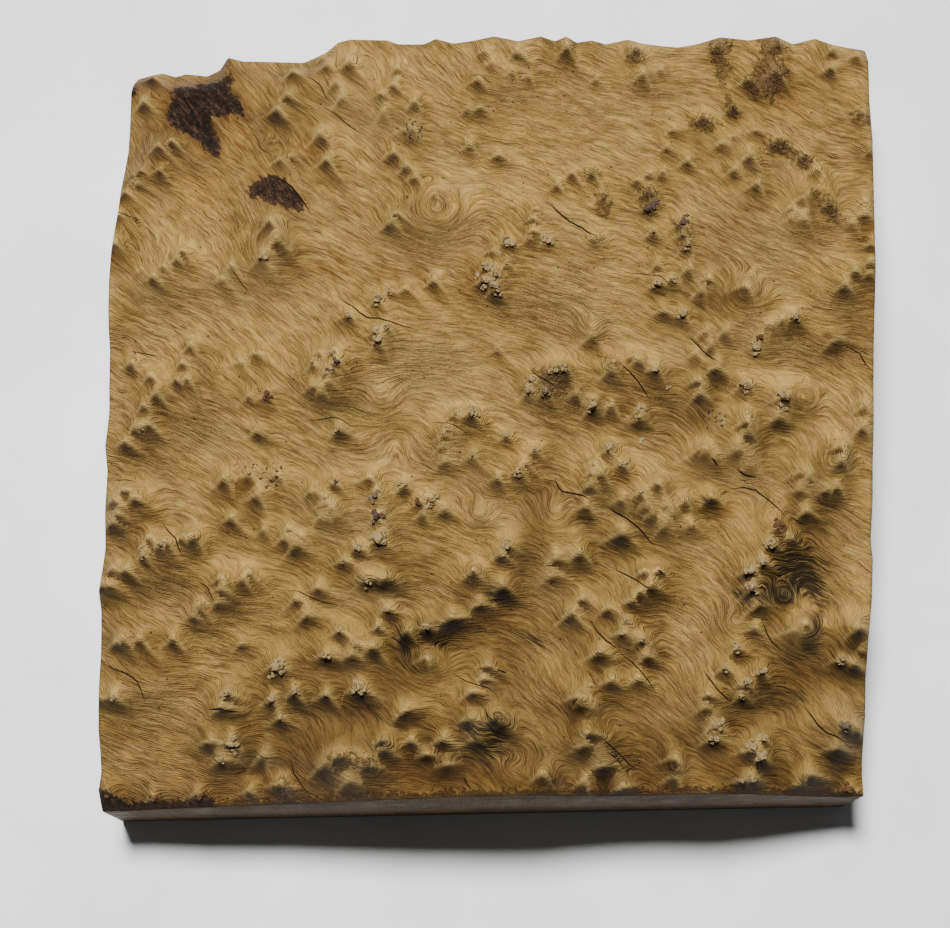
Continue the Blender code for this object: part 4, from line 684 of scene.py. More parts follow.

# %% [markdown]
# ## Bark, dark grain and warm wood
#
# Scraps of purple-brown bark are still held in the hollows. Each is an outline given as a list of points, and
# the mesh stores the distance to it, inside counting up, so that the material can fray its edge along the
# grain. The darker swirls of grain, the broad darker ovals of painted shade, partly the deeper brown of the
# wood, and the smooth orange patches have no edge at all, so they are soft ovals instead. Rough and porous
# patches of skin are outlines too.

# %% Outlines of the bark that is left
BARK = [
    [(-90, 95.5), (-87, 96.3), (-84, 95.5), (-84.5, 98), (-82.5, 98.8), (-80, 97.5), (-78, 98),
     (-76.5, 96.6), (-75.5, 98.4), (-74, 98.4), (-72.5, 96.3), (-74, 95.3), (-73.8, 93), (-72, 91),
     (-70.5, 89), (-69, 86.5), (-67.5, 84), (-70, 84), (-72.5, 85.5), (-76, 85), (-78, 84.5), (-77.5, 81),
     (-76.5, 78), (-75.5, 75), (-75.5, 72.5), (-77.5, 72), (-79.5, 74), (-81, 76), (-83, 78), (-86, 79.8),
     (-89, 82), (-91.5, 85), (-91.3, 88), (-90, 91)],
    [(-67.3, 61.5), (-65.5, 64.2), (-61, 65), (-57.5, 63.4), (-54, 60), (-51.2, 55.5), (-52.8, 53),
     (-56.5, 54), (-60, 55.8), (-63, 57.6), (-66.5, 59.2)],
    [(62.6, 84), (64, 83.6), (66, 80.6), (64.6, 79.6), (63, 81)],
    [(-104, -98), (-99.5, -99), (-95, -101), (-88, -101.2), (-87, -99.5), (-85.5, -101), (-78, -101.5),
     (-75, -99.3), (-72, -101.5), (-72, -106), (-104, -106)],
    [(-102.5, 99), (-101, 97), (-100, 94), (-101, 93), (-104, 93), (-104, 99)],
]
ROUGH = [
    [(58.3, 105), (64, 105), (64.6, 101), (63.5, 98.5), (63.8, 95), (62, 91), (60, 92), (59.5, 96),
     (58.2, 99)],
    [(62.3, 88.5), (63.5, 88), (64.5, 84), (65.8, 80.5), (64.2, 79.5), (62.6, 81.5), (61.8, 84.5)],
    [(70, 105), (77, 105), (78, 101), (76, 98), (79, 96), (79.7, 92.5), (77.5, 91), (77.5, 88.5),
     (75.5, 85.5), (72.5, 86), (69, 87), (67, 91.5), (69.5, 94.5), (72, 98)],
    [(51, 79), (56, 80.3), (58, 78.5), (60, 77.5), (57.5, 75), (54, 76), (52, 77.5)],
    [(71.5, 74.5), (75, 74), (79, 73), (81, 70), (84, 68), (84.5, 66), (81, 65.5), (79, 67.5), (77, 69.5),
     (72.5, 70)],
    [(96, 82), (98, 83), (101, 82.5), (103, 81), (103, 77), (99, 78), (96.5, 80)],
    [(38, 59.5), (41, 59.5), (43.4, 56), (43, 52), (41, 50.8), (38.6, 52.5), (38.2, 56)],
    [(26.3, 57.5), (28.8, 57.5), (30.2, 54.5), (29.8, 51.5), (28, 50.5), (26, 53)],
    [(47.3, 48.6), (50.5, 48.6), (50.6, 40), (48.4, 39.6), (48, 44)],
    [(82.5, 58.5), (87, 58.2), (89, 55), (90.3, 51), (92, 50), (88.5, 49), (85, 52), (86, 55)],
    [(35, 100), (38, 101), (40, 98), (39, 95.5), (36, 95)],
    [(-57.5, -99), (-54, -96.5), (-52, -98), (-49, -100), (-52, -102.5), (-57, -102)],
    [(-45.5, -95), (-42, -92.5), (-38, -91), (-35.5, -92), (-29.5, -93.5), (-28.5, -95.5), (-31, -96),
     (-37, -94.5), (-41, -95), (-44, -97)],
    [(12, -96.5), (16, -96.5), (18.5, -98.5), (18, -101), (12, -101), (11.5, -99)],
    [(9, 8.5), (13, 8), (18, 8.5), (19.5, 4), (14, -0.5), (9.5, 2.5)],
]
POROUS = [
    [(-26.5, 79.5), (-24, 81.3), (-20, 79), (-18.5, 77), (-20, 75), (-24, 74.5), (-26, 76.5)],
    [(-25, 59.5), (-22.5, 60), (-22, 57), (-23, 54), (-25, 55.5)],
    [(-68, -16.5), (-64, -15), (-61, -17), (-56, -16), (-54.5, -20), (-57, -23.5), (-60.5, -25), (-62, -21),
     (-66, -20.5)],
    [(53, -3), (57, -1.5), (60, -4), (58.5, -8), (54.5, -7.5)],
    [(-62, 4), (-58.5, 4), (-57.5, 0.5), (-61, 0)],
    [(70, -31), (73, -31), (73.5, -34.5), (70.5, -35)],
]


def bark_value(x, y, outlines):
    """Distance to the nearest outline, inside counting up and outside down."""
    value = np.full_like(x, -4.0)
    for outline in outlines:
        inside = np.zeros(x.shape, bool)
        away = np.full_like(x, 99.0)
        for k, start in enumerate(outline):
            end = outline[(k + 1) % len(outline)]
            run_x, run_y = end[0] - start[0], end[1] - start[1]
            place = ((x - start[0]) * run_x + (y - start[1]) * run_y) / (run_x**2 + run_y**2)
            held = np.clip(place, 0, 1)
            away = np.minimum(away, np.hypot(x - start[0] - held * run_x, y - start[1] - held * run_y))
            crosses = (start[1] > y) != (end[1] > y)
            if run_y:
                inside ^= crosses & (x < start[0] + (y - start[1]) * run_x / run_y)
        value = np.maximum(value, np.where(inside, away, -away))
    return np.clip(value, -4, 4)


# %% Soft ovals: centre, half width, half depth, turn in degrees, strength
DARK = [
    (76, -43, 8, 8, -30, 1), (71, -50, 5, 3, 0, 0.9), (81.5, -58, 2.5, 7, -10, 0.8),
    (79, -63, 4, 2, -30, 0.8), (81, -47, 5, 4, -30, 0.6), (-11, -58.5, 7, 2, 5, 0.8),
    (-4.5, -60.5, 2, 3, 20, 0.6), (-24, -63, 2.5, 6, 15, 0.8), (-20, -70, 6, 1.6, -5, 0.6),
    (8.5, -62, 6, 2.5, -12, 0.7), (3, -53, 6, 3, -10, 0.5), (-30, -48.8, 7, 2.2, -6, 0.9),
    (-15.5, -62.5, 4.5, 1.6, 0, 0.7), (-31, -66.5, 3, 3, -50, 0.7), (44.3, -95, 2.5, 5, -10, 0.7),
    (80, -97, 8, 2.2, -3, 0.7), (86, -90.6, 6, 1.8, -5, 0.6), (29, 7, 3, 3, 0, 0.6),
    (-59, -92.3, 4, 1.8, 8, 0.7), (26, 17.3, 4, 2.4, 20, 0.6), (17, 3, 3, 5, -30, 0.4),
    (38, 98, 2.6, 2.6, 0, 0.6), (-46.5, 73, 2.4, 3, -50, 0.6), (72, -5, 4, 1.5, -10, 0.5),
    (64, -8, 2, 4, 0, 0.5), (54.5, -27, 5, 2.2, -10, 0.7), (60, -23.5, 4, 1.5, 0, 0.4),
    (-82, -41.5, 5, 4, -45, 0.5), (-77, -38, 2.5, 3, -50, 0.6), (-97, 13, 6, 2, -10, 0.3),
    (-86, 22, 8, 2.5, -18, 0.35), (83, 68, 3, 2, -25, 0.6), (76.5, 71.5, 3.5, 2.5, -30, 0.6),
    (70, 64, 3, 3.5, -60, 0.4), (-28, -89.5, 4, 2.5, -20, 0.7), (-35, -77.5, 6, 2.5, -20, 0.6),
    (-42, -96, 4, 3, -40, 0.6), (-4, -88, 8, 6.5, -50, 0.85), (0, -84, 3, 3, 0, 0.7),
    (-22, -81.5, 5, 1.8, 15, 0.6), (20, -79.7, 5, 1.4, -6, 0.6), (22, -87, 4, 1.3, -8, 0.6),
    (30, -94, 6, 1.8, -5, 0.6), (78, 10, 9, 5, -10, 0.3), (75, -74, 10, 4, -8, 0.4),
    (-101, -48, 3, 4, 0, 0.4), (-48.5, 1.5, 4, 2, -20, 0.5), (-5, -77, 4, 1.4, -5, 0.5),
    (0.5, -51, 5, 2, -5, 0.7), (15, -47.5, 5, 1.8, 0, 0.5), (1, -43, 5, 2, -15, 0.5),
    (32.5, -37, 5, 2.4, -15, 0.6), (23, -30.5, 3, 2.4, -40, 0.6), (90, -15, 2.5, 5, 10, 0.5),
    (66, -52, 6, 2, 0, 0.6), (61, -50, 3, 1.5, 0, 0.5), (-101.5, 40, 3, 5, 0, 0.3),
]
# Broad darker ovals, partly painted shade and partly the deeper brown of the wood, strongest over the near
# half
SHADE = [
    (0, -112, 130, 44, 0, 0.55), (-20, -86, 45, 18, 10, 0.25), (50, -88, 40, 14, 10, 0.25),
    (-86, 84, 18, 16, 0, 0.6), (-60, 82, 8, 9, 0, 0.45), (-98, 98, 5, 6, 0, 0.4), (-100, 40, 3, 6, 0, 0.4),
    (-100, 13, 5, 8, 0, 0.35), (-76, 8, 5, 10, 10, 0.4), (-90, -16, 12, 6, -10, 0.4),
    (-82, -43, 8, 5, -20, 0.4), (-94, -53, 8, 4, 0, 0.45), (-88, -66, 13, 5, -25, 0.55),
    (-53, -69, 5, 3, -20, 0.55), (-66, -76, 4, 5, 0, 0.4), (-90, -86, 13, 3, 0, 0.45),
    (-56, -89, 16, 4.5, 15, 0.7), (-35, -80, 11, 5, 35, 0.6), (-24, -68, 5, 6, 0, 0.75),
    (-12, -59, 12, 4, 12, 0.6), (3, -58, 10, 7, 0, 0.6), (2, -71, 5, 7, 0, 0.75), (9, -36, 4, 6, 0, 0.2),
    (-84, 73, 10, 7, -20, 0.4), (-74, 98, 5, 6, 0, 0.4), (-58, 54, 6, 4, 0, 0.3), (80, -37, 6, 9, 0, 0.3),
    (-34, -77, 5, 4, 0, 0.3), (79, -71, 7, 5, 0, 0.3), (44, -90, 5, 4, 0, 0.3), (5, -62, 12, 7, 0, 0.3),
    (-20, -44, 10, 5, 0, 0.25), (-90, -66, 9, 5, 0, 0.25), (54, -4, 4, 4, 0, 0.3), (44, -17, 4, 6, 0, 0.25),
    (44, -47, 5, 6, 0, 0.2), (93, 17, 5, 4, 0, 0.3), (30, -88, 7, 8, 0, 0.25), (62, -24, 8, 3, 0, 0.2),
    (12, -60, 8, 4, 15, 0.4), (8, -38, 4, 9, -25, 0.6), (12, -24, 3.5, 10, -10, 0.55),
    (15, -7, 4, 4, 0, 0.35), (-20, -43, 12, 3, -15, 0.4), (-12, -99, 24, 7, 0, 0.6),
    (30, -98, 9, 3, 25, 0.5), (31, -87, 9, 5, 0, 0.45), (43, -88, 7, 3, 0, 0.5), (84, -98, 4, 8, 0, 0.4),
    (73, -76, 10, 5, 45, 0.7), (79, -68, 8, 5, 0, 0.65), (60, -83, 8, 2.5, 0, 0.3),
    (83, -35, 6, 10, 0, 0.55), (70, -47, 4, 3, 0, 0.5), (86, -51, 5, 8, 0, 0.3), (44, -46, 4, 6, -30, 0.4),
    (27, -38, 8, 2.5, 20, 0.5), (55, 4, 3.5, 6, 10, 0.65), (53, -4, 4, 3, 0, 0.6), (83, 4, 3.5, 9, -25, 0.3),
    (93, 20, 6, 4, 20, 0.55), (98, 31, 3, 10, 0, 0.4), (58, 27, 4, 3, 0, 0.5), (70, 56, 3, 5, 0, 0.45),
    (38, 61, 6, 5, 0, 0.25), (12, 85, 7, 11, 0, 0.25), (-5, 88, 6, 8, 0, 0.25), (-21, 52, 10, 8, 0, 0.25),
    (-28, 32, 9, 5, -10, 0.3), (-6, 35, 4, 11, 0, 0.4), (9, 21, 10, 8, 0, 0.25), (-50, 37, 7, 8, 0, 0.2),
    (-54, 68, 8, 4, -30, 0.35), (-58, 53, 7, 4, -40, 0.3), (45, -3, 5, 6, 0, 0.25),
    (-66, 33, 9, 6, -30, 0.2), (76, 63, 6, 5, 0, 0.2), (64, 45, 12, 12, 0, 0.2), (92, 60, 6, 3, -20, 0.2),
    (84, 90, 10, 8, -20, 0.3), (-88, 88, 16, 14, 0, 0.25), (-76, 98, 5, 8, 0, 0.3), (98, 50, 5, 40, 0, 0.25),
    (-78, 6, 5, 9, 0, 0.25), (44, -90, 5, 5, 0, 0.4), (79, -71, 8, 5, 0, 0.3), (79, -37, 6, 7, 0, 0.3),
    (8, -35, 4, 8, 0, 0.25), (-18, -44, 9, 4, 0, 0.25), (43, -16, 4, 6, 0, 0.25), (-32, -76, 4, 4, 0, 0.4),
    (1, -71, 6, 6, 0, 0.3), (82, -56, 3, 5, 0, 0.4), (-58, 48, 5, 4, 0, 0.3), (-51, -69, 5, 4, 0, 0.3),
    (-18, 103, 40, 4, 0, 0.25), (-59, 47, 6, 5, 0, 0.3), (11, 53, 5, 5, 0, 0.3), (55, 5, 3, 7, 0, 0.3),
    (-45, -23, 7, 4, 0, 0.25), (-95, 16, 8, 4, 0, 0.25), (-95, -22, 6, 5, 0, 0.25), (-82, -36, 8, 5, 0, 0.3),
    (-18, -60, 14, 4, 30, 0.3), (-28, -77, 9, 4, 0, 0.3), (-32, -88, 12, 7, 0, 0.35),
    (-59, -93, 9, 5, 0, 0.4), (-1, -75, 7, 7, 0, 0.35), (-12, -89, 8, 3, 0, 0.3), (26, -92, 6, 8, 30, 0.45),
    (81, -95, 6, 4, 0, 0.35), (70, -84, 5, 8, -20, 0.35), (80, -72, 6, 4, 0, 0.25), (98, 35, 4, 12, 0, 0.25),
    (98, 62, 4, 10, 0, 0.25), (-68, -76, 4, 4, 0, 0.25), (28, -91, 6, 8, 30, 0.4), (-60, -92, 9, 4, 0, 0.3),
    (-34, -90, 10, 6, 0, 0.3), (56, 4, 4, 7, 0, 0.3), (62, -6, 4, 6, 0, 0.25), (-30, -100, 14, 5, 0, 0.25),
    (-75, 62, 9, 8, 0, 0.2), (86, -34, 5, 8, 0, 0.25),
]
WARM = [
    (3, 47, 9, 6, 0, 1), (-27, 56, 6, 4, 0, 0.8), (-22, 37, 16, 5, -6, 1), (-7, 37, 4, 6, 0, 0.8),
    (-64, 49, 11, 8, -20, 1), (-51, 72, 7, 7, -40, 0.9), (-68, 76, 8, 9, -40, 0.8),
    (-93, 94, 9, 8, -30, 0.8), (-80, 63, 8, 6, -40, 0.9), (-62, 67, 6, 5, -40, 0.7),
    (76, 89, 8, 7, -30, 0.7), (82, 82, 8, 5, -20, 0.6), (24, 16, 5, 4, -40, 0.8), (34, 2, 5, 3, -20, 0.8),
    (20, -18, 6, 6, 0, 0.7), (62, -26, 11, 5, -12, 0.7), (73, -21, 6, 5, -20, 0.8), (16, -73, 7, 5, 0, 0.8),
    (59, -38, 9, 7, -30, 0.6), (74, -58, 5, 4, 0, 0.8), (3, -97, 12, 5, 0, 0.7), (-24, -96, 12, 4, -5, 0.8),
    (-80, -98, 15, 4, 0, 0.7), (5, -15, 6, 3, -10, 0.6), (88, -83, 7, 6, -30, 0.5), (59, -62, 5, 4, 0, 0.6),
    (20, -84, 7, 5, 0, 0.5), (-57, 1, 6, 5, -40, 0.6), (12, 10, 8, 3, -10, 0.6), (28, 10, 5, 4, 0, 0.6),
    (66, 20, 8, 5, 0, 0.4), (70, -97, 10, 3, 0, 0.5), (-68, -22, 4, 4, 0, 0.4), (-90, -35, 7, 4, -20, 0.4),
    (-30, -57, 4, 2, 0, 0.3), (60, 100, 20, 5, 0, 0.3), (38, 92, 5, 4, 0, 0.5), (20, 98, 7, 4, 0, 0.4),
    (-38, 102, 8, 4, 0, 0.5), (92, -54, 6, 4, 0, 0.4), (-70, -48, 7, 4, -30, 0.4), (-5, 33, 4, 3, 0, 0.8),
    (50, -76, 5, 4, -20, 0.5), (94, 12, 5, 4, 0, 0.4), (-70, 84, 5, 8, 0, 0.6), (-92, 74, 6, 8, -30, 0.5),
    (-72, 56, 8, 6, -40, 0.6), (-42, 38, 10, 5, 0, 0.8), (-84, 100, 10, 4, 0, 0.6), (40, -98, 14, 5, 0, 0.4),
    (-55, -97, 12, 5, 0, 0.5), (86, -70, 7, 6, 0, 0.4), (66, -72, 6, 9, -30, 0.4), (-10, -74, 14, 5, 0, 0.4),
    (40, 22, 6, 5, 0, 0.4), (8, 25, 5, 4, 0, 0.3),
]


def ovals(x, y, table):
    value = np.zeros_like(x)
    for centre_x, centre_y, half_x, half_y, turn, strength in table:
        angle = math.radians(turn)
        along = (x - centre_x) * math.cos(angle) + (y - centre_y) * math.sin(angle)
        across = (y - centre_y) * math.cos(angle) - (x - centre_x) * math.sin(angle)
        oval = strength * np.exp(-((along / half_x) ** 2 + (across / half_y) ** 2) * 0.9)
        value = value + oval * (1 - value)
    return value


bark = bark_value(x, y, BARK)
rough_bark = bark_value(x, y, ROUGH)
porous = bark_value(x, y, POROUS)
dark = ovals(x, y, DARK)
warm = ovals(x, y, WARM)
shade = ovals(x, y, SHADE)
print("bark outlines", len(BARK) + len(ROUGH), "dark ovals", len(DARK), "warm ovals", len(WARM))

# %% [markdown]
# ## How deep a place lies
#
# The hollows between knobs are darker, partly for dust and old sap and partly as painted shade, and the tops
# of the knobs get a painted highlight. A hollow is a place that lies lower than the mean of the skin round
# it, so the height is blurred and the height itself taken away. Soft ovals mark places where the painted
# shade is lifted and the skin laid paler. The near cut has torn the skin, so the distance from that cut is
# kept as well.
# Each knob has painted shade on its near face and a dark tip, so both are worked out from the list of knobs,
# with the distance inside the face's two upper edges to give the painted shade a crisp border.

# %% Paler places, where the painted shade on the knobs is lifted and the skin laid paler
PALER_PLACES = [
    (56, -17, 9, 4, 0, 0.8), (41, -31, 7, 4, -35, 0.6), (49, -36, 5, 3, -30, 0.5), (-46, 3, 6, 5, 0, 0.6),
    (-62, 38, 5, 6, 0, 0.5), (77, -62, 5, 3, 0, 0.9), (13, -48, 5, 6, 0, 0.5), (-33, -51, 8, 3, 0, 0.6),
    (-12, -17, 8, 5, -20, 0.5), (1, -87, 4, 4, 0, 0.4), (70, 17, 8, 5, 25, 0.6), (-97, 31, 5, 4, 0, 0.5),
    (12, 0, 8, 3, 0, 0.5), (-45, -33, 8, 4, 0, 0.5), (-31, -30, 8, 5, 0, 0.5), (-38, -97, 6, 3, 0, 0.6),
    (50, -81, 4, 3, 0, 0.6), (80, -22, 8, 4, 0, 0.4), (34, -75, 6, 3, 0, 0.4), (20, -80, 4, 3, 0, 0.5),
    (-75, -55, 6, 4, 0, 0.4), (79, 48, 9, 5, 0, 0.6), (-42, 88, 7, 9, -40, 0.5), (-30, 81, 6, 4, 0, 0.6),
    (4, 97, 6, 6, 0, 0.3), (39, 95, 6, 5, 0, 0.4), (62, 70, 8, 6, 0, 0.4), (-36, -68, 8, 5, 0, 0.3),
    (72, -2, 5, 4, 0, 0.4), (30, 5, 5, 4, 0, 0.4), (50, 12, 6, 5, 0, 0.3), (0, 65, 8, 6, 0, 0.3),
    (-74, 34, 3, 5, 0, 0.4), (-30, 15, 4, 4, 0, 0.4), (95, 52, 5, 6, 0, 0.4), (50, 42, 4, 8, 0, 0.4),
    (63, -19, 5, 4, 0, 0.7), (1, -88, 6, 5, 0, 0.4), (-45, -30, 12, 8, 0, 0.3), (20, 42, 10, 8, 0, 0.4),
    (-59, 59, 9, 6, -35, 1), (13, -50, 5, 4, 0, 0.5), (-35, -52, 8, 3, 0, 0.4), (72, -62, 6, 3, 0, 0.6),
    (-64, 34, 8, 7, 0, 0.5), (-97, 31, 8, 4, 0, 0.4), (-8, -19, 8, 4, 0, 0.4), (-78, -82, 10, 6, 0, 0.4),
    (84, -84, 6, 5, 0, 0.5), (18, -92, 6, 4, 0, 0.5), (-33, -97, 8, 3, 0, 0.4), (-36, -32, 8, 5, 0, 0.4),
    (27, -30, 6, 5, 0, 0.4), (52, -37, 6, 4, 0, 0.4), (65, 16, 6, 6, 0, 0.4), (-87, 95, 3, 4, 0, 0.3),
    (-69, -93, 3, 4, 0, 0.4), (-3, -28, 10, 5, 0, 0.3), (33, -64, 5, 4, 0, 0.4), (-38, 80, 9, 10, -40, 0.6),
    (-12, 45, 6, 6, 0, 0.8), (-26, 43, 10, 5, 0, 0.5), (-15, 9, 11, 7, 0, 0.9), (73, 43, 6, 8, 10, 0.9),
    (68, -21, 7, 5, 0, 0.7), (-70, -10, 5, 5, 0, 0.7), (-66, 30, 9, 4, 0, 0.6), (-38, -52, 6, 4, 0, 0.5),
    (35, 86, 16, 8, 10, 0.5), (-9, 66, 8, 5, -30, 0.6), (5, 87, 5, 5, 0, 0.6), (30, 30, 10, 12, 0, 0.5),
    (20, 22, 9, 5, 20, 0.5), (80, 64, 7, 5, -30, 0.6), (47, 15, 5, 7, 0, 0.5), (45, -82, 6, 4, 0, 0.5),
    (0, -91, 8, 3, 0, 0.5), (66, 22, 5, 5, 0, 0.5), (91, 46, 4, 5, 0, 0.5),
]
LIP_REACH = 20.0
shade_lifting = ovals(x, y, PALER_PLACES)
along_near_cut = (x - NEAR_LEFT[0]) / (NEAR_RIGHT[0] - NEAR_LEFT[0])
from_near_cut = y - NEAR_LEFT[1] - (NEAR_RIGHT[1] - NEAR_LEFT[1]) * along_near_cut
from_near_cut = np.minimum(from_near_cut, LIP_REACH)
print("worn places", len(PALER_PLACES), "share of the skin", round(float((shade_lifting > 0.3).mean()), 2))

# %% Hollows, knob faces and slopes
broad_hollow = blurred(z, 9) - z


def faces_of_knobs(x, y):
    """Painted shade of each knob's near face, distance inside its two upper edges, and its dark tip."""
    faces = np.zeros_like(x)
    edges = np.full_like(x, -3.0)
    tips = np.zeros_like(x)
    for head_x, head_y, width, rise, heading, tail in KNOBS:
        turn = math.radians(heading)
        dx = x - head_x
        dy = y - head_y
        strength = min(1.0, 0.5 + 0.2 * rise)
        along = dx * math.cos(turn) + dy * math.sin(turn)
        from_crest = dx * math.sin(turn) - dy * math.cos(turn)
        left_edge = math.radians(196 + (7 * head_x + 3 * head_y) % 34)
        from_left = dy * math.cos(left_edge) - dx * math.sin(left_edge)
        rounding = 0.3 * width
        inside = -rounding * np.logaddexp(-from_crest / rounding, -from_left / rounding) + 0.5 * rounding
        length = np.where(along < 0, 0.9 * width, 0.6 * width + 0.4 * tail)
        face = strength * np.exp(-((along / length) ** 2) - np.abs(from_crest / (1.2 * width)) ** 2.5)
        edges = np.where(face > faces, inside, edges)
        faces = np.maximum(faces, face)
        tip = np.exp(-((dx / (0.3 * width)) ** 2) - ((dy + 0.25 * width) / (0.35 * width)) ** 2)
        tips = np.maximum(tips, strength * tip)
    return faces, np.clip(edges, -3, 3), tips


knob_face_shade, knob_edge, knob_tip = faces_of_knobs(x, y)
knob_crowd = blurred(knob_face_shade * (knob_edge > 0), 9)
near_slope_of_knobs = np.gradient(blurred(knob_rise, 1), axis=0) / np.gradient(y, axis=0)
near_slope_of_swells = np.gradient(blurred(swell_rise, 3), axis=0) / np.gradient(y, axis=0)
print("deepest hollow", round(float(broad_hollow.max()), 2), "mm below its surroundings")
print("steepest near side of a knob", round(float(near_slope_of_knobs.max()), 2),
      "and of a swell", round(float(near_slope_of_swells.max()), 2))

# %% Keep all the values on the mesh
def keep(name, grid):
    values = np.empty(side_count * side_count)
    values[order] = grid.ravel()
    attribute = burl.data.attributes.new(name, "FLOAT", "POINT")
    attribute.data.foreach_set("value", values)


kept = {
    "grain": grain, "bark": bark, "rough": rough_bark, "porous": porous, "dark": dark, "warm": warm,
    "shade": shade, "shade_lifting": shade_lifting, "knob": knob_rise, "swell": swell_rise, "broad_hollow": broad_hollow,
    "knob_slope": near_slope_of_knobs, "swell_slope": near_slope_of_swells, "knob_face_shade": knob_face_shade,
    "knob_edge": knob_edge, "knob_tip": knob_tip, "knob_crowd": knob_crowd, "from_near_cut": from_near_cut,
    "crack_side": crack_side, "crack_nearness": crack_nearness, "crack_width": crack_width,
}
for name, grid in kept.items():
    keep(name, grid)
print("values kept", sorted(kept))

# %% [markdown]
# ## Sides and base
#
# The rim is selected as the edges with a face on one side only, extruded down, and set on the base plane.
# Filling the loop that is left gives the base in one face.

# %% Extrude the rim down and close the base
SMOOTH_BELOW = math.radians(65)

bpy.ops.object.mode_set(mode="EDIT")
bpy.ops.mesh.select_mode(type="EDGE")
bpy.ops.mesh.select_all(action="DESELECT")
bpy.ops.mesh.select_non_manifold()
bpy.ops.mesh.extrude_region_move(TRANSFORM_OT_translate={"value": (0, 0, -0.02)})
bpy.ops.object.mode_set(mode="OBJECT")
for vert in burl.data.vertices:
    if vert.select:
        vert.co.z = 0.0
bpy.ops.object.mode_set(mode="EDIT")
bpy.ops.mesh.edge_face_add()
bpy.ops.mesh.select_all(action="SELECT")
bpy.ops.mesh.normals_make_consistent(inside=False)
bpy.ops.object.mode_set(mode="OBJECT")
bpy.ops.object.shade_smooth_by_angle(angle=SMOOTH_BELOW)
print("faces", len(burl.data.polygons))

# %% [markdown]
# ## Bark crumbs
#
# Crumbs of dry bark still cling to many of the knobs. They are small but catch the light, so they are real
# shapes. A low ball is made once, then copied to each place on the list, flattened, knocked out of round by
# random steps with a fixed seed, and sunk a little into the skin. All of them are joined into one mesh.

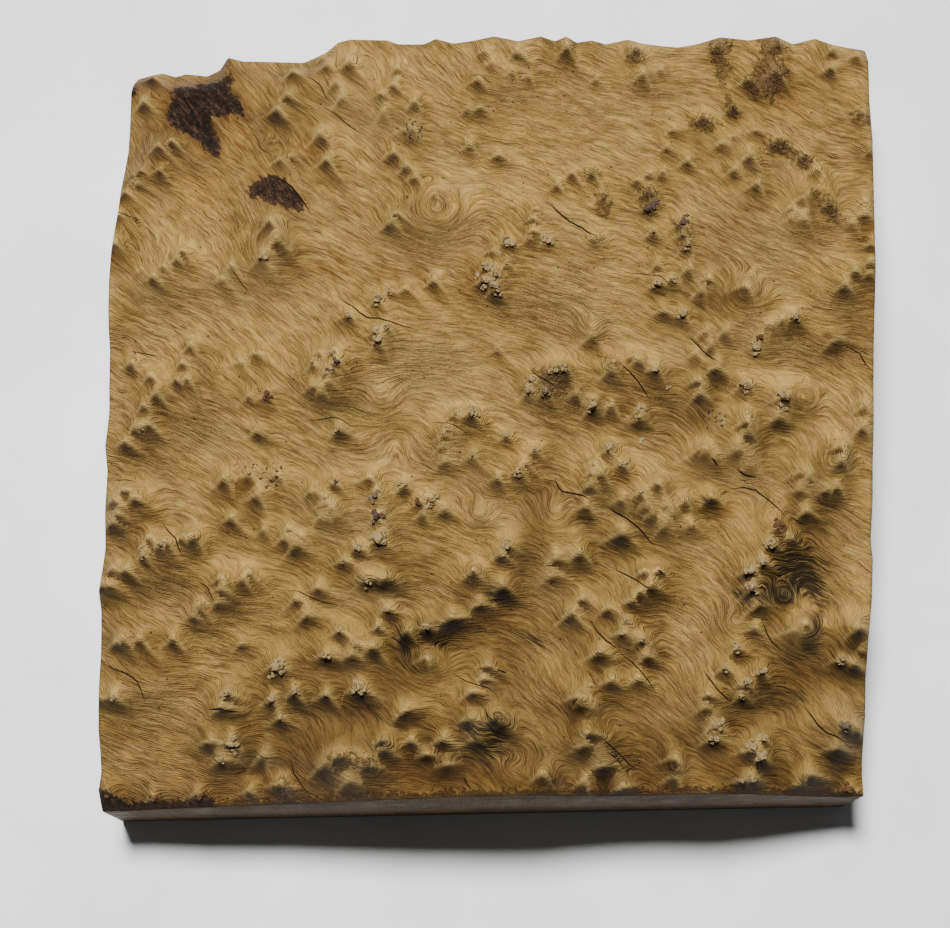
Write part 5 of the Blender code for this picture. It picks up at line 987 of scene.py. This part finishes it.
# %% Where the crumbs sit: place, radius, and tint 0 pale, 1 grey, 2 brown, 3 purple
CRUMBS = [
    (-31.5, 27.2, 1.8, 0), (-28.5, 30, 1.2, 0), (-39, 22.8, 1.2, 0), (-31.5, 17.5, 1.4, 0),
    (-29, 18.5, 1.2, 0), (-31, 15, 1.4, 0), (-3, 36, 1.9, 0), (-1.3, 35, 1.3, 0), (-3.5, 32, 1.8, 0),
    (-0.3, 33, 1.3, 0), (-1, 30.2, 1.4, 0), (0.2, 29, 1.3, 0), (-5.2, 34.2, 1.2, 0), (-2, 31, 1.2, 1),
    (-43, 12, 1.3, 0), (-48, 9.5, 1.2, 0), (-41.5, 8.7, 1.4, 3), (-44, 6.5, 0.9, 3), (-42.5, 6.5, 0.8, 3),
    (4, 42, 1.8, 0), (2.6, 43.5, 1.2, 1), (13.5, 42, 1.4, 0), (12, 43.4, 1.1, 0), (2.5, 36.5, 1, 0),
    (40, 53, 1.8, 3), (41.8, 54.5, 1.3, 3), (41.3, 46, 1, 0), (49, 47.5, 1.4, 3), (49.6, 50, 1.1, 3),
    (49, 44, 1, 0), (50, 41.5, 1.4, 0), (46, 33, 1.2, 0), (42, 31.7, 1.4, 0), (48.5, 23, 1.4, 0),
    (41, 7.3, 1.2, 0), (13.5, 6.7, 1.2, 0), (15, 6.8, 1.2, 0), (17, 6.8, 1.2, 0), (8.8, 4.5, 1.2, 0),
    (8, 2, 1.3, 0), (12.3, 1.2, 1.4, 1), (67.5, 14.5, 1.8, 0), (68.5, 16.5, 1.2, 2), (78, 22.3, 1.6, 0),
    (64.4, 3.5, 1.8, 0), (74, 0, 2, 0), (73.5, -2.5, 1.5, 0), (24.5, -2.2, 1.5, 0), (37, -3, 1.6, 0),
    (36.5, -5, 1, 0), (2.2, -10, 1.2, 0), (9.4, -13.5, 1.2, 0), (5.2, -19.7, 1.4, 0), (28.5, -13.5, 1.5, 0),
    (32.3, -18, 1.3, 0), (36.4, -25.5, 1, 0), (-11, -4.8, 1.1, 0), (-6.8, -4.6, 1.8, 0),
    (-6.8, -2.8, 1.1, 0), (-13, -8.8, 1, 0), (-14, -10.5, 0.9, 0), (-6.6, -15.6, 0.9, 0),
    (-25, -22.5, 1.2, 0), (-23.8, -22.8, 1.2, 0), (-31.5, -26, 1.5, 1), (-30.8, -31.5, 1.7, 3),
    (-30.3, -37, 2.4, 0), (-16.2, -26, 1.3, 0), (-17.5, -28, 1.6, 0), (-20.5, -27, 1.2, 2),
    (-35.8, -39.3, 1.3, 0), (-39.5, -42.6, 0.8, 0), (-41.2, -7.7, 1.1, 0), (-41.6, -22.4, 0.9, 3),
    (2.2, -38.5, 1.6, 0), (1.5, -41.2, 0.8, 0), (-33.2, -48.5, 1.3, 0), (32.3, -58.2, 1.1, 0),
    (30.8, -61.5, 1, 0), (36, -63, 1.1, 0), (25.5, -66, 1, 0), (60.3, -64.5, 1.6, 0), (57.2, -69.5, 1.2, 0),
    (66.7, -70, 1.5, 0), (62.3, -73.2, 1.7, 0), (61.3, -76.5, 1.2, 0), (55.3, -83.7, 1.8, 0),
    (53.8, -87, 1.6, 0), (64, -89.5, 2.2, 0), (66, -91.8, 1.6, 0), (67, -86.7, 1.3, 0),
    (61.3, -97.4, 1.2, 0), (63.8, -97, 1.2, 0), (69.5, -38.2, 1.8, 0), (71.8, -33, 2.2, 2),
    (67, -43.2, 1.4, 0), (64, -45.2, 1.6, 0), (64.5, -49.5, 1.8, 0), (88, -66, 1.3, 0), (88.5, -83, 1.8, 1),
    (91, -98, 1.8, 2), (-92.4, -7.3, 0.8, 0), (-90.5, -38.8, 0.9, 0), (-90.5, -41, 0.9, 0),
    (-85.8, -38.5, 1.1, 0), (-55.5, -69.3, 2.2, 0), (-56.8, -71.3, 1.3, 0), (-51, -76, 1.4, 0),
    (-57, -77.8, 1.4, 0), (-55, -82, 1.1, 0), (-68.3, -76.2, 1.5, 0), (-67.2, -88.5, 1.8, 0),
    (-66.4, -90.5, 1.2, 0), (-70, -92, 1.3, 0), (-97.8, -76.3, 1.1, 0), (-40, -60.8, 1, 0),
    (-30.4, -59.4, 0.9, 0), (-18, -59.3, 1.2, 0), (-28, -55.1, 1.2, 0), (-43.5, -67, 1.2, 0),
    (-35, -74.5, 1.8, 0), (-36.5, -75.6, 1.2, 0), (-34.6, -76.4, 0.8, 0), (-43.2, -76.7, 0.9, 0),
    (-60, 2, 1.6, 2), (-62, 38, 1.4, 0), (-101, -100.5, 1.5, 2), (-76, -100.8, 1.4, 2), (-88, -101, 1.2, 2),
    (37.5, -10, 1.1, 0), (44, 3.5, 1, 0),
]
CRUMB_SUNK = 0.5
CRUMB_SEED = 11
CRUMB_LIMIT = (100.5, 101.5)


def skin_height(x, y):
    """Height of the finished skin at one place, read from the grid."""
    at_b = (y - NEAR_LEFT[1]) / (FAR_LEFT[1] - NEAR_LEFT[1])
    for _ in range(4):
        left = NEAR_LEFT[0] * (1 - at_b) + FAR_LEFT[0] * at_b
        right = NEAR_RIGHT[0] * (1 - at_b) + FAR_RIGHT[0] * at_b
        at_a = (x - left) / (right - left)
        near = NEAR_LEFT[1] * (1 - at_a) + NEAR_RIGHT[1] * at_a
        far = FAR_LEFT[1] * (1 - at_a) + FAR_RIGHT[1] * at_a
        at_b = (y - near) / (far - near)
    return float(spread_out(z, np.array([at_a]), np.array([at_b]))[0])


# %% One low ball, copied to every place and joined
bpy.ops.object.select_all(action="DESELECT")
bpy.ops.mesh.primitive_ico_sphere_add(subdivisions=2, radius=1.0, location=(0, 0, 0))
ball = bpy.context.active_object
ball_points = np.array([vert.co[:] for vert in ball.data.vertices])
ball_faces = [list(face.vertices) for face in ball.data.polygons]
bpy.data.objects.remove(ball)

chance = np.random.RandomState(CRUMB_SEED)
pieces = []
for place_x, place_y, radius, tint in CRUMBS:
    pieces.append((place_x, place_y, radius * 0.62, tint))
    for _ in range(1 if radius < 1.25 else 3):
        turn = chance.uniform(0, 2 * math.pi)
        step = radius * chance.uniform(0.55, 0.9)
        size = radius * chance.uniform(0.3, 0.5)
        pieces.append((place_x + step * math.cos(turn), place_y + step * math.sin(turn), size, tint))

crumb_points, crumb_faces, crumb_tints, crumb_pit_shade = [], [], [], []
for place_x, place_y, radius, tint in pieces:
    if abs(place_x) > CRUMB_LIMIT[0] or abs(place_y) > CRUMB_LIMIT[1]:
        continue
    lumps = chance.uniform(0.66, 1.22, len(ball_points))
    stretch = chance.uniform(0.75, 1.2, 3) * (1, 1, 0.8)
    shape = ball_points * lumps[:, None] * stretch * radius
    height = skin_height(place_x, place_y) + radius * (0.62 - CRUMB_SUNK)
    first = len(crumb_points)
    crumb_points.extend((shape + (place_x, place_y, height)) * MILLIMETRE)
    crumb_faces.extend([first + k for k in face] for face in ball_faces)
    crumb_tints.extend([tint + chance.uniform(-0.3, 0.3)] * len(ball_points))
    # Painted shade: dents in each crumb and its lower side are marked to be darker
    crumb_pit_shade.extend((1.22 - lumps) / 0.56 + 0.3 * (ball_points[:, 2] < -0.1))

crumb_mesh = bpy.data.meshes.new("bark_crumbs")
crumb_mesh.from_pydata([tuple(point) for point in crumb_points], [], crumb_faces)
crumbs = bpy.data.objects.new("bark_crumbs", crumb_mesh)
bpy.context.scene.collection.objects.link(crumbs)
for name, values in (("tint", crumb_tints), ("pit_shade", crumb_pit_shade)):
    crumb_mesh.attributes.new(name, "FLOAT", "POINT").data.foreach_set("value", values)
print("crumbs", len(pieces), "triangles", len(crumb_faces))

# %% [markdown]
# ## A short way of writing materials
#
# Three finishes are needed: the bare skin, the sawn wood and the crumbs. Each is a tree of nodes, so a few
# helpers keep the cells readable: one adds a node and joins its inputs, some do arithmetic, one turns a
# value into a soft step, and others mix, layer and darken colours, the last for tints and for painted shade.

# %% Helpers for node trees
DEEPER = 1.25
PALEST = 0.62


def add(tree, kind, inputs=(), **settings):
    made = tree.nodes.new("ShaderNode" + kind)
    for name, value in settings.items():
        setattr(made, name, value)
    for key, value in dict(inputs).items():
        if isinstance(value, bpy.types.NodeSocket):
            tree.links.new(value, made.inputs[key])
        else:
            made.inputs[key].default_value = value
    return made.outputs


def calc(tree, operation, *values, clamp=False):
    return add(tree, "Math", dict(enumerate(values)), operation=operation, use_clamp=clamp)[0]


def step(tree, value, low, high):
    """0 below low, 1 above high, a soft S between."""
    ends = {"Value": value, "From Min": low, "From Max": high}
    return add(tree, "MapRange", ends, interpolation_type="SMOOTHSTEP")[0]


def mix(tree, share, first, second):
    colours = {0: share, 6: first, 7: second}
    return add(tree, "Mix", colours, data_type="RGBA")[2]


def times(tree, first, second):
    return calc(tree, "MULTIPLY", first, second)


def inverse(tree, value):
    return calc(tree, "SUBTRACT", 1.0, value)


def layer(tree, colour, mask, share, top):
    """Lay a second colour over the first where the mask is, no stronger than the share."""
    return mix(tree, times(tree, mask, share), colour, top)


def deepen(tree, share, colour, red, green, blue):
    """Darken a colour by multiplying it, keeping the lines already drawn in it: used for tints and for
    painted shade.
    """
    colours = {0: share, 6: colour, 7: (red, green, blue, 1.0)}
    return add(tree, "Mix", colours, data_type="RGBA", blend_type="MULTIPLY")[2]


def noise(tree, place, scale, detail=2.0, roughness=0.5):
    values = {"Vector": place, "Scale": scale, "Detail": detail, "Roughness": roughness}
    return add(tree, "TexNoise", values)[0]


def rgb(red, green, blue):
    """The colour a lit face should show on a screen, 0 to 255, as the linear colour of the wood itself."""
    linear = []
    for part in (red, green, blue):
        part = part / 255
        part = part / 12.92 if part <= 0.04045 else ((part + 0.055) / 1.055) ** 2.4
        linear.append(PALEST * part**DEEPER)
    return (*linear, 1.0)


def stored(tree, name):
    return add(tree, "Attribute", attribute_name=name)["Fac"]


def place_in_millimetres(tree):
    coordinates = add(tree, "TexCoord")["Object"]
    return add(tree, "VectorMath", {0: coordinates, "Scale": 1000.0}, operation="SCALE")[0]


# %% [markdown]
# ## Grain lines as a shared node group
#
# The skin and the sawn sides both show grain, so the effect is a node group. It takes a value whose contours
# are the grain. A sine of that value gives thin lines a little under a millimetre apart, a noise stretched
# along the contours makes them come and go, and a slower noise makes them waver. The other outputs are
# finer threads, fibres, broad ridges and long streaks, all stretched along the same contours.

# %% Node group: grain lines
LINE_SPACING = 0.46

grain_group = bpy.data.node_groups.new("grain_lines", "ShaderNodeTree")
for name, kind in (("Value", "NodeSocketFloat"), ("Place", "NodeSocketVector")):
    grain_group.interface.new_socket(name, in_out="INPUT", socket_type=kind)
for name in ("Lines", "Threads", "Fibres", "Ridges", "Streaks"):
    grain_group.interface.new_socket(name, in_out="OUTPUT", socket_type="NodeSocketFloat")
given = grain_group.nodes.new("NodeGroupInput").outputs
result = grain_group.nodes.new("NodeGroupOutput").inputs
waver = noise(grain_group, given["Place"], 0.1, 2.0, 0.5)
value = calc(grain_group, "MULTIPLY_ADD", waver, 3.0, given["Value"])
small_waver = noise(grain_group, given["Place"], 0.3, 2.0)
value = calc(grain_group, "MULTIPLY_ADD", small_waver, 0.7, value)
parts = add(grain_group, "SeparateXYZ", {0: given["Place"]})


def along_grain(tree, value, across, along):
    """A place that changes quickly over the contours and slowly along them."""
    first = times(tree, value, across)
    second = times(tree, parts[0], along)
    third = times(tree, parts[1], along)
    return add(tree, "CombineXYZ", {0: first, 1: second, 2: third})[0]


lines = calc(grain_group, "SINE", times(grain_group, value, 2 * math.pi / LINE_SPACING))
lines = calc(grain_group, "MULTIPLY_ADD", lines, 0.5, 0.5)
lines = calc(grain_group, "POWER", lines, 0.5)
fibres = noise(grain_group, along_grain(grain_group, value, 1.0, 0.09), 2.0, 3.0, 0.6)
come_and_go = noise(grain_group, along_grain(grain_group, value, 0.4, 0.12), 1.0, 1.0)
strength = step(grain_group, come_and_go, 0.3, 0.56)
lines = calc(grain_group, "SUBTRACT", lines, 1.0)
lines = calc(grain_group, "MULTIPLY_ADD", lines, strength, 1.0)
ridges = noise(grain_group, along_grain(grain_group, value, 0.3, 0.09), 1.0, 2.0, 0.5)
streaks = noise(grain_group, along_grain(grain_group, value, 0.16, 0.03), 1.0, 3.0)
threads = noise(grain_group, along_grain(grain_group, value, 1.6, 0.2), 1.5, 3.0, 0.7)
grain_group.links.new(lines, result["Lines"])
grain_group.links.new(step(grain_group, threads, 0.36, 0.64), result["Threads"])
grain_group.links.new(step(grain_group, fibres, 0.3, 0.7), result["Fibres"])
grain_group.links.new(step(grain_group, ridges, 0.3, 0.7), result["Ridges"])
grain_group.links.new(step(grain_group, streaks, 0.3, 0.7), result["Streaks"])
print("grain group", len(grain_group.nodes), "nodes")


def grain_lines(tree, value, place):
    made = tree.nodes.new("ShaderNodeGroup")
    made.node_tree = grain_group
    tree.links.new(value, made.inputs["Value"])
    tree.links.new(place, made.inputs["Place"])
    return made.outputs


# %% [markdown]
# ## The bare skin
#
# The colour is built up in layers: a tan wood, olive on the swells and in the hollows, where it is partly
# dust and partly painted shade, orange patches, the grain's dark lines and pale fibres, painted shade on
# slopes and knob faces that face the near side, painted highlights on slopes that face away and on the knobs'
# crests and tops, broad ovals of painted shade, then dark swirls, bark, the torn lip of the near cut,
# pinholes and cracks.
# Each layer has a mask, and the same masks drive how rough the surface is and how it bumps. The orange
# patches, the dark tips and the painted shade multiply the colour under them, so that the grain still shows
# through.

# %% Skin material: colour
skin = bpy.data.materials.new("burl_skin")
skin.use_nodes = True
tree = skin.node_tree
tree.nodes.clear()
place = place_in_millimetres(tree)
grain_out = grain_lines(tree, stored(tree, "grain"), place)
lines, fibres = grain_out["Lines"], grain_out["Fibres"]
ridges, streaks = grain_out["Ridges"], grain_out["Streaks"]
threads = grain_out["Threads"]
patchy = noise(tree, place, 0.045, 3.0, 0.55)
grit = noise(tree, place, 1.6, 3.0, 0.6)

raised = step(tree, stored(tree, "swell"), 0.4, 4.5)
colour = mix(tree, raised, rgb(210, 171, 95), rgb(170, 135, 67))
colour = layer(tree, colour, step(tree, patchy, 0.42, 0.6), 0.45, rgb(160, 131, 72))
# The paler ovals lift the painted shade of the knobs below and lay a paler tone on the skin.
shade_lifting = inverse(tree, stored(tree, "shade_lifting"))
# Painted shade: slopes of the swells that face the near side are darkened.
near_slope_shade = step(tree, stored(tree, "swell_slope"), -0.02, 0.4)
colour = layer(tree, colour, near_slope_shade, 0.35, rgb(96, 78, 44))
# Darker in the hollows, partly dust and old sap and partly painted shade.
hollow = step(tree, stored(tree, "broad_hollow"), -0.2, 1.5)
colour = layer(tree, colour, hollow, 0.4, rgb(110, 88, 50))
warm_share = calc(tree, "MULTIPLY", stored(tree, "warm"), 1.1, clamp=True)
colour = deepen(tree, warm_share, colour, 0.94, 0.66, 0.41)
colour = layer(tree, colour, streaks, 0.3, rgb(118, 94, 50))
# Painted shade in the grooves between the grain's ridges, which the relief also sinks.
groove = inverse(tree, ridges)
colour = layer(tree, colour, groove, 0.25, rgb(92, 70, 38))
colour = layer(tree, colour, inverse(tree, lines), 0.85, rgb(76, 55, 29))
colour = layer(tree, colour, inverse(tree, threads), 0.48, rgb(98, 74, 40))
colour = layer(tree, colour, fibres, 0.55, rgb(235, 203, 135))
facing = calc(tree, "ADD", stored(tree, "knob_slope"), stored(tree, "swell_slope"))
# Painted highlight: slopes of the knobs and swells that face away from the near side are made paler.
far_slope_highlight = step(tree, times(tree, facing, -1.0), 0.08, 0.8)
colour = layer(tree, colour, far_slope_highlight, 0.5, rgb(233, 200, 130))
# Paler tone where the painted shade is lifted.
colour = layer(tree, colour, stored(tree, "shade_lifting"), 0.22, rgb(234, 202, 136))
# Olive round crowded knobs, partly the wood's own colour and partly painted shade spread out from the knobs'
# near faces.
crowd = step(tree, stored(tree, "knob_crowd"), 0.0, 0.24)
crowd_share = times(tree, times(tree, crowd, 0.85), shade_lifting)
colour = deepen(tree, crowd_share, colour, 0.6, 0.53, 0.38)
# Broad ovals of painted shade, partly the deeper brown of the wood, darken the colour.
colour = deepen(tree, stored(tree, "shade"), colour, 0.34, 0.29, 0.20)
# Painted shade on every slope of the knobs and swells that faces the near side.
shaded = step(tree, facing, 0.1, 1.1)
shaded_share = times(tree, times(tree, shaded, 0.5), shade_lifting)
colour = mix(tree, shaded_share, colour, rgb(82, 65, 38))
ruffled = calc(tree, "MULTIPLY_ADD", fibres, 0.6, calc(tree, "SUBTRACT", stored(tree, "knob_edge"), 0.3))
on_face = step(tree, ruffled, -0.35, 0.75)
# Painted shade on the near face of each knob, with a crisp upper border.
face_share = times(tree, times(tree, stored(tree, "knob_face_shade"), on_face), shade_lifting)
colour = deepen(tree, times(tree, face_share, 0.9), colour, 0.36, 0.30, 0.20)
tip_share = times(tree, times(tree, stored(tree, "knob_tip"), on_face), 0.8)
colour = deepen(tree, times(tree, tip_share, shade_lifting), colour, 0.3, 0.24, 0.18)
# Painted highlight along the upper edge of each knob's face.
crest_highlight = times(tree, step(tree, ruffled, -1.1, -0.3), inverse(tree, on_face))
colour = layer(tree, colour, times(tree, crest_highlight, stored(tree, "knob_face_shade")), 0.36, rgb(228, 202, 140))
# Painted highlight on the tops of the knobs.
crown_highlight = times(tree, step(tree, stored(tree, "knob"), 0.8, 3.6),
             inverse(tree, times(tree, stored(tree, "knob_face_shade"), on_face)))
colour = layer(tree, colour, crown_highlight, 0.34, rgb(233, 203, 136))
print("skin colour so far", len(tree.nodes), "nodes")

# %% Skin material: dark swirls, bark, pinholes and cracks
swirl = calc(tree, "MULTIPLY_ADD", fibres, 0.9, times(tree, lines, 0.5))
swirl = calc(tree, "SUBTRACT", times(tree, stored(tree, "dark"), 1.7), swirl)
swirl = step(tree, swirl, -0.25, 0.75)
colour = layer(tree, colour, swirl, 0.9, rgb(38, 25, 13))

STRAND_TURN = math.radians(-56)
along_strands = {"Vector": place, "Rotation": (0, 0, STRAND_TURN), "Scale": (5.0, 1.0, 2.0)}
slanted = add(tree, "Mapping", along_strands, vector_type="TEXTURE")[0]
strand_noise = noise(tree, slanted, 0.9, 4.0, 0.65)
strands = step(tree, strand_noise, 0.44, 0.68)
fray = calc(tree, "MULTIPLY_ADD", calc(tree, "SUBTRACT", strand_noise, 0.5), 6.0, -0.3)
fray = calc(tree, "MULTIPLY_ADD", calc(tree, "SUBTRACT", grit, 0.5), 2.0, fray)
bark_mask = step(tree, calc(tree, "ADD", stored(tree, "bark"), fray), -0.4, 0.5)
near_bark = step(tree, stored(tree, "bark"), -3.4, 0.4)
colour = layer(tree, colour, near_bark, 0.35, rgb(124, 88, 50))
bark_colour = mix(tree, strands, rgb(64, 46, 32), rgb(122, 95, 72))
bark_colour = layer(tree, bark_colour, stored(tree, "shade_lifting"), 0.35, rgb(132, 100, 74))
crumbly = noise(tree, place, 0.75, 4.0, 0.65)
# Painted shade in the bark's crevices, which the relief also sinks.
crevice = step(tree, crumbly, 0.52, 0.6)
bark_colour = layer(tree, bark_colour, crevice, 0.4, rgb(46, 32, 22))
colour = mix(tree, bark_mask, colour, bark_colour)
ragged = calc(tree, "SUBTRACT", stored(tree, "rough"), 0.8)
ragged = calc(tree, "MULTIPLY_ADD", calc(tree, "SUBTRACT", crumbly, 0.5), 12.0, ragged)
rough_mask = step(tree, ragged, -1.5, 2.2)
rough_mask = times(tree, rough_mask, step(tree, stored(tree, "rough"), -1.6, 0.0))
grains = step(tree, noise(tree, place, 1.7, 3.0, 0.7), 0.42, 0.6)
rough_colour = mix(tree, grains, rgb(92, 68, 48), rgb(160, 132, 98))
colour = mix(tree, times(tree, rough_mask, 0.62), colour, rough_colour)
porous_mask = step(tree, calc(tree, "ADD", stored(tree, "porous"), fray), -0.4, 0.5)
pores = step(tree, noise(tree, place, 1.0, 2.0, 0.5), 0.56, 0.61)
colour = layer(tree, colour, porous_mask, 0.18, rgb(204, 180, 128))
colour = layer(tree, colour, times(tree, porous_mask, pores), 0.9, rgb(62, 44, 28))

torn = calc(tree, "MULTIPLY_ADD", calc(tree, "SUBTRACT", crumbly, 0.5), 9.0, stored(tree, "from_near_cut"))
lip = inverse(tree, step(tree, torn, 0.7, 1.9))
colour = layer(tree, colour, lip, 0.75, rgb(88, 64, 42))

holes = add(tree, "TexVoronoi", {"Vector": place, "Scale": 0.42, "Randomness": 1.0})
chosen = calc(tree, "GREATER_THAN", add(tree, "SeparateColor", {0: holes["Color"]})[0], 0.62)
size = add(tree, "SeparateColor", {0: holes["Color"]})[1]
size = calc(tree, "MULTIPLY_ADD", size, 0.07, 0.045)
hole_mask = inverse(tree, step(tree, calc(tree, "SUBTRACT", holes["Distance"], size), -0.03, 0.03))
hole_mask = times(tree, hole_mask, chosen)
colour = layer(tree, colour, hole_mask, 0.8, rgb(56, 38, 24))

from_crack = calc(tree, "ABSOLUTE", stored(tree, "crack_side"))
crack_reach = calc(tree, "SUBTRACT", stored(tree, "crack_width"), from_crack)
crack_mask = step(tree, crack_reach, -0.06, 0.05)
crack_mask = times(tree, crack_mask, calc(tree, "GREATER_THAN", stored(tree, "crack_nearness"), 0.5))
colour = mix(tree, crack_mask, colour, rgb(30, 19, 12))
print("skin colour", len(tree.nodes), "nodes")

# %% Skin material: relief, gloss and the shader
# Patterns and how far each raises or sinks the skin, in millimetres
HEIGHTS = (
    (fibres, 0.14), (threads, 0.22), (ridges, 0.4), (grit, 0.06), (bark_mask, 0.3),
    (times(tree, rough_mask, crumbly), 1.6), (times(tree, bark_mask, strands), 0.7),
    (times(tree, bark_mask, crevice), -0.9), (lip, 0.5), (hole_mask, -0.25), (crack_mask, -0.7),
)
relief = times(tree, lines, 0.2)
for part, height in HEIGHTS:
    relief = calc(tree, "MULTIPLY_ADD", part, height, relief)
bump = add(tree, "Bump", {"Strength": 1.0, "Distance": MILLIMETRE, "Height": relief})[0]
rough = calc(tree, "MULTIPLY_ADD", hollow, 0.14, 0.6)
rough = calc(tree, "MULTIPLY_ADD", grit, 0.1, rough)
rough = calc(tree, "MULTIPLY_ADD", bark_mask, 0.25, rough, clamp=True)
shader = add(tree, "BsdfPrincipled", {"Base Color": colour, "Roughness": rough, "Normal": bump,
                                      "Specular IOR Level": 0.18})
tree.links.new(shader[0], tree.nodes.new("ShaderNodeOutputMaterial").inputs[0])
print("skin material", len(tree.nodes), "nodes")

# %% [markdown]
# ## The sawn sides
#
# The four sides and the base were cut with a band saw and brushed with wax to slow the drying, so they are
# darker than the skin, a little shinier where the wax is thick, with fine upright saw marks. The grain
# group is used again, fed with a value that rises with height, so its lines run along the slab.

# %% Sawn wood material
sawn = bpy.data.materials.new("sawn_wood")
sawn.use_nodes = True
tree = sawn.node_tree
tree.nodes.clear()
place = place_in_millimetres(tree)
parts_of_place = add(tree, "SeparateXYZ", {0: place})
broad = noise(tree, place, 0.05, 3.0, 0.6)
level = calc(tree, "MULTIPLY_ADD", broad, 26.0, parts_of_place[2])
grain_out = grain_lines(tree, level, place)
colour = mix(tree, step(tree, broad, 0.35, 0.65), rgb(132, 106, 70), rgb(98, 76, 50))
colour = layer(tree, colour, grain_out["Streaks"], 0.5, rgb(86, 66, 44))
colour = layer(tree, colour, grain_out["Fibres"], 0.4, rgb(152, 126, 88))
marks_place = add(tree, "VectorMath", {0: place, 1: (1.0, 1.0, 0.04)}, operation="MULTIPLY")[0]
marks = noise(tree, marks_place, 1.1, 3.0, 0.6)
colour = layer(tree, colour, step(tree, marks, 0.45, 0.6), 0.5, rgb(82, 64, 46))
wax = step(tree, noise(tree, place, 0.12, 4.0, 0.6), 0.5, 0.66)
colour = layer(tree, colour, wax, 0.25, rgb(136, 116, 86))
foot = inverse(tree, step(tree, parts_of_place[2], 0.5, 2.6))
colour = layer(tree, colour, foot, 0.6, rgb(96, 56, 38))
relief = calc(tree, "MULTIPLY_ADD", grain_out["Fibres"], 0.06, times(tree, marks, 0.3))
bump = add(tree, "Bump", {"Strength": 1.0, "Distance": MILLIMETRE, "Height": relief})[0]
rough = calc(tree, "MULTIPLY_ADD", wax, -0.15, 0.62)
shader = add(tree, "BsdfPrincipled", {"Base Color": colour, "Roughness": rough, "Normal": bump,
                                      "Specular IOR Level": 0.2})
tree.links.new(shader[0], tree.nodes.new("ShaderNodeOutputMaterial").inputs[0])
print("sawn wood", len(tree.nodes), "nodes")

# %% [markdown]
# ## The crumbs' finish
#
# Bark crumbs are dry and dull. Most are a pale grey beige, a few are brown, and a few have the purple of
# fresh bark. The tint stored on the mesh chooses between them, a noise adds dark spots, and painted shade
# darkens their dents and undersides.

# %% Crumb material
crumb_finish = bpy.data.materials.new("crumb_bark")
crumb_finish.use_nodes = True
tree = crumb_finish.node_tree
tree.nodes.clear()
place = place_in_millimetres(tree)
tint = stored(tree, "tint")
colour = mix(tree, step(tree, tint, 0.3, 0.7), rgb(190, 168, 124), rgb(150, 136, 110))
colour = mix(tree, step(tree, tint, 1.3, 1.7), colour, rgb(134, 100, 66))
colour = mix(tree, step(tree, tint, 2.3, 2.7), colour, rgb(120, 100, 90))
pits = noise(tree, place, 2.4, 3.0, 0.7)
# Dark spots from the noise, with painted shade in the dents and on the undersides.
deep = calc(tree, "MULTIPLY_ADD", pits, 1.2, stored(tree, "pit_shade"))
colour = mix(tree, step(tree, deep, 1.1, 1.6), colour, rgb(98, 73, 45))
bump = add(tree, "Bump", {"Strength": 1.0, "Distance": MILLIMETRE, "Height": times(tree, pits, 0.5)})[0]
shader = add(tree, "BsdfPrincipled", {"Base Color": colour, "Roughness": 0.8, "Normal": bump,
                                      "Specular IOR Level": 0.2})
tree.links.new(shader[0], tree.nodes.new("ShaderNodeOutputMaterial").inputs[0])
print("crumb material", len(tree.nodes), "nodes")

# %% Put the finishes on
LEAST_UPWARD = 0.01

burl.data.materials.append(skin)
burl.data.materials.append(sawn)
for face in burl.data.polygons:
    face.material_index = 0 if face.normal.z > LEAST_UPWARD else 1
crumb_mesh.materials.append(crumb_finish)
print("sawn faces", sum(face.material_index == 1 for face in burl.data.polygons))

# %% [markdown]
# ## Table and light
#
# The blank lies on a pale table under a high, soft light on its far side, a little to the left. That light,
# with the painted shade in the skin's colour, is why the near side of every knob is dark. A dim pale sky
# fills the shadows.

# %% Table, sky and lamp
bpy.ops.object.select_all(action="DESELECT")
bpy.ops.mesh.primitive_plane_add(size=6.0, location=(0, 0, 0))
table = bpy.context.active_object
table.name = "table"
table_finish = bpy.data.materials.new("table")
table_finish.use_nodes = True
tree = table_finish.node_tree
tree.nodes.clear()
cloud = noise(tree, place_in_millimetres(tree), 0.02, 4.0, 0.6)
colour = mix(tree, step(tree, cloud, 0.3, 0.7), (0.66, 0.67, 0.66, 1.0), (0.74, 0.75, 0.74, 1.0))
shader = add(tree, "BsdfPrincipled", {"Base Color": colour, "Roughness": 0.5})
tree.links.new(shader[0], tree.nodes.new("ShaderNodeOutputMaterial").inputs[0])
table.data.materials.append(table_finish)

LIGHT_FROM = (-0.14, 0.28, 1.42)
LIGHT_SIZE = 0.3
LIGHT_POWER = 52.0
light_data = bpy.data.lights.new("lamp", "AREA")
light_data.shape = "DISK"
light_data.size = LIGHT_SIZE
light_data.energy = LIGHT_POWER
lamp = bpy.data.objects.new("lamp", light_data)
bpy.context.scene.collection.objects.link(lamp)
lamp.location = LIGHT_FROM
tilt = math.atan2(math.hypot(LIGHT_FROM[0], LIGHT_FROM[1]), LIGHT_FROM[2])
lamp.rotation_euler = (tilt, 0.0, math.atan2(LIGHT_FROM[0], -LIGHT_FROM[1]))
sky = bpy.data.worlds.new("sky")
sky.use_nodes = True
sky.node_tree.nodes["Background"].inputs[0].default_value = (0.93, 0.96, 1.0, 1.0)
sky.node_tree.nodes["Background"].inputs[1].default_value = 0.07
bpy.context.scene.world = sky
print("lamp", lamp.location[:], "power", LIGHT_POWER)

# %% Hang the pieces on the frame and finish
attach(burl, "root")
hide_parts("burl_blank")
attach(crumbs, "root")
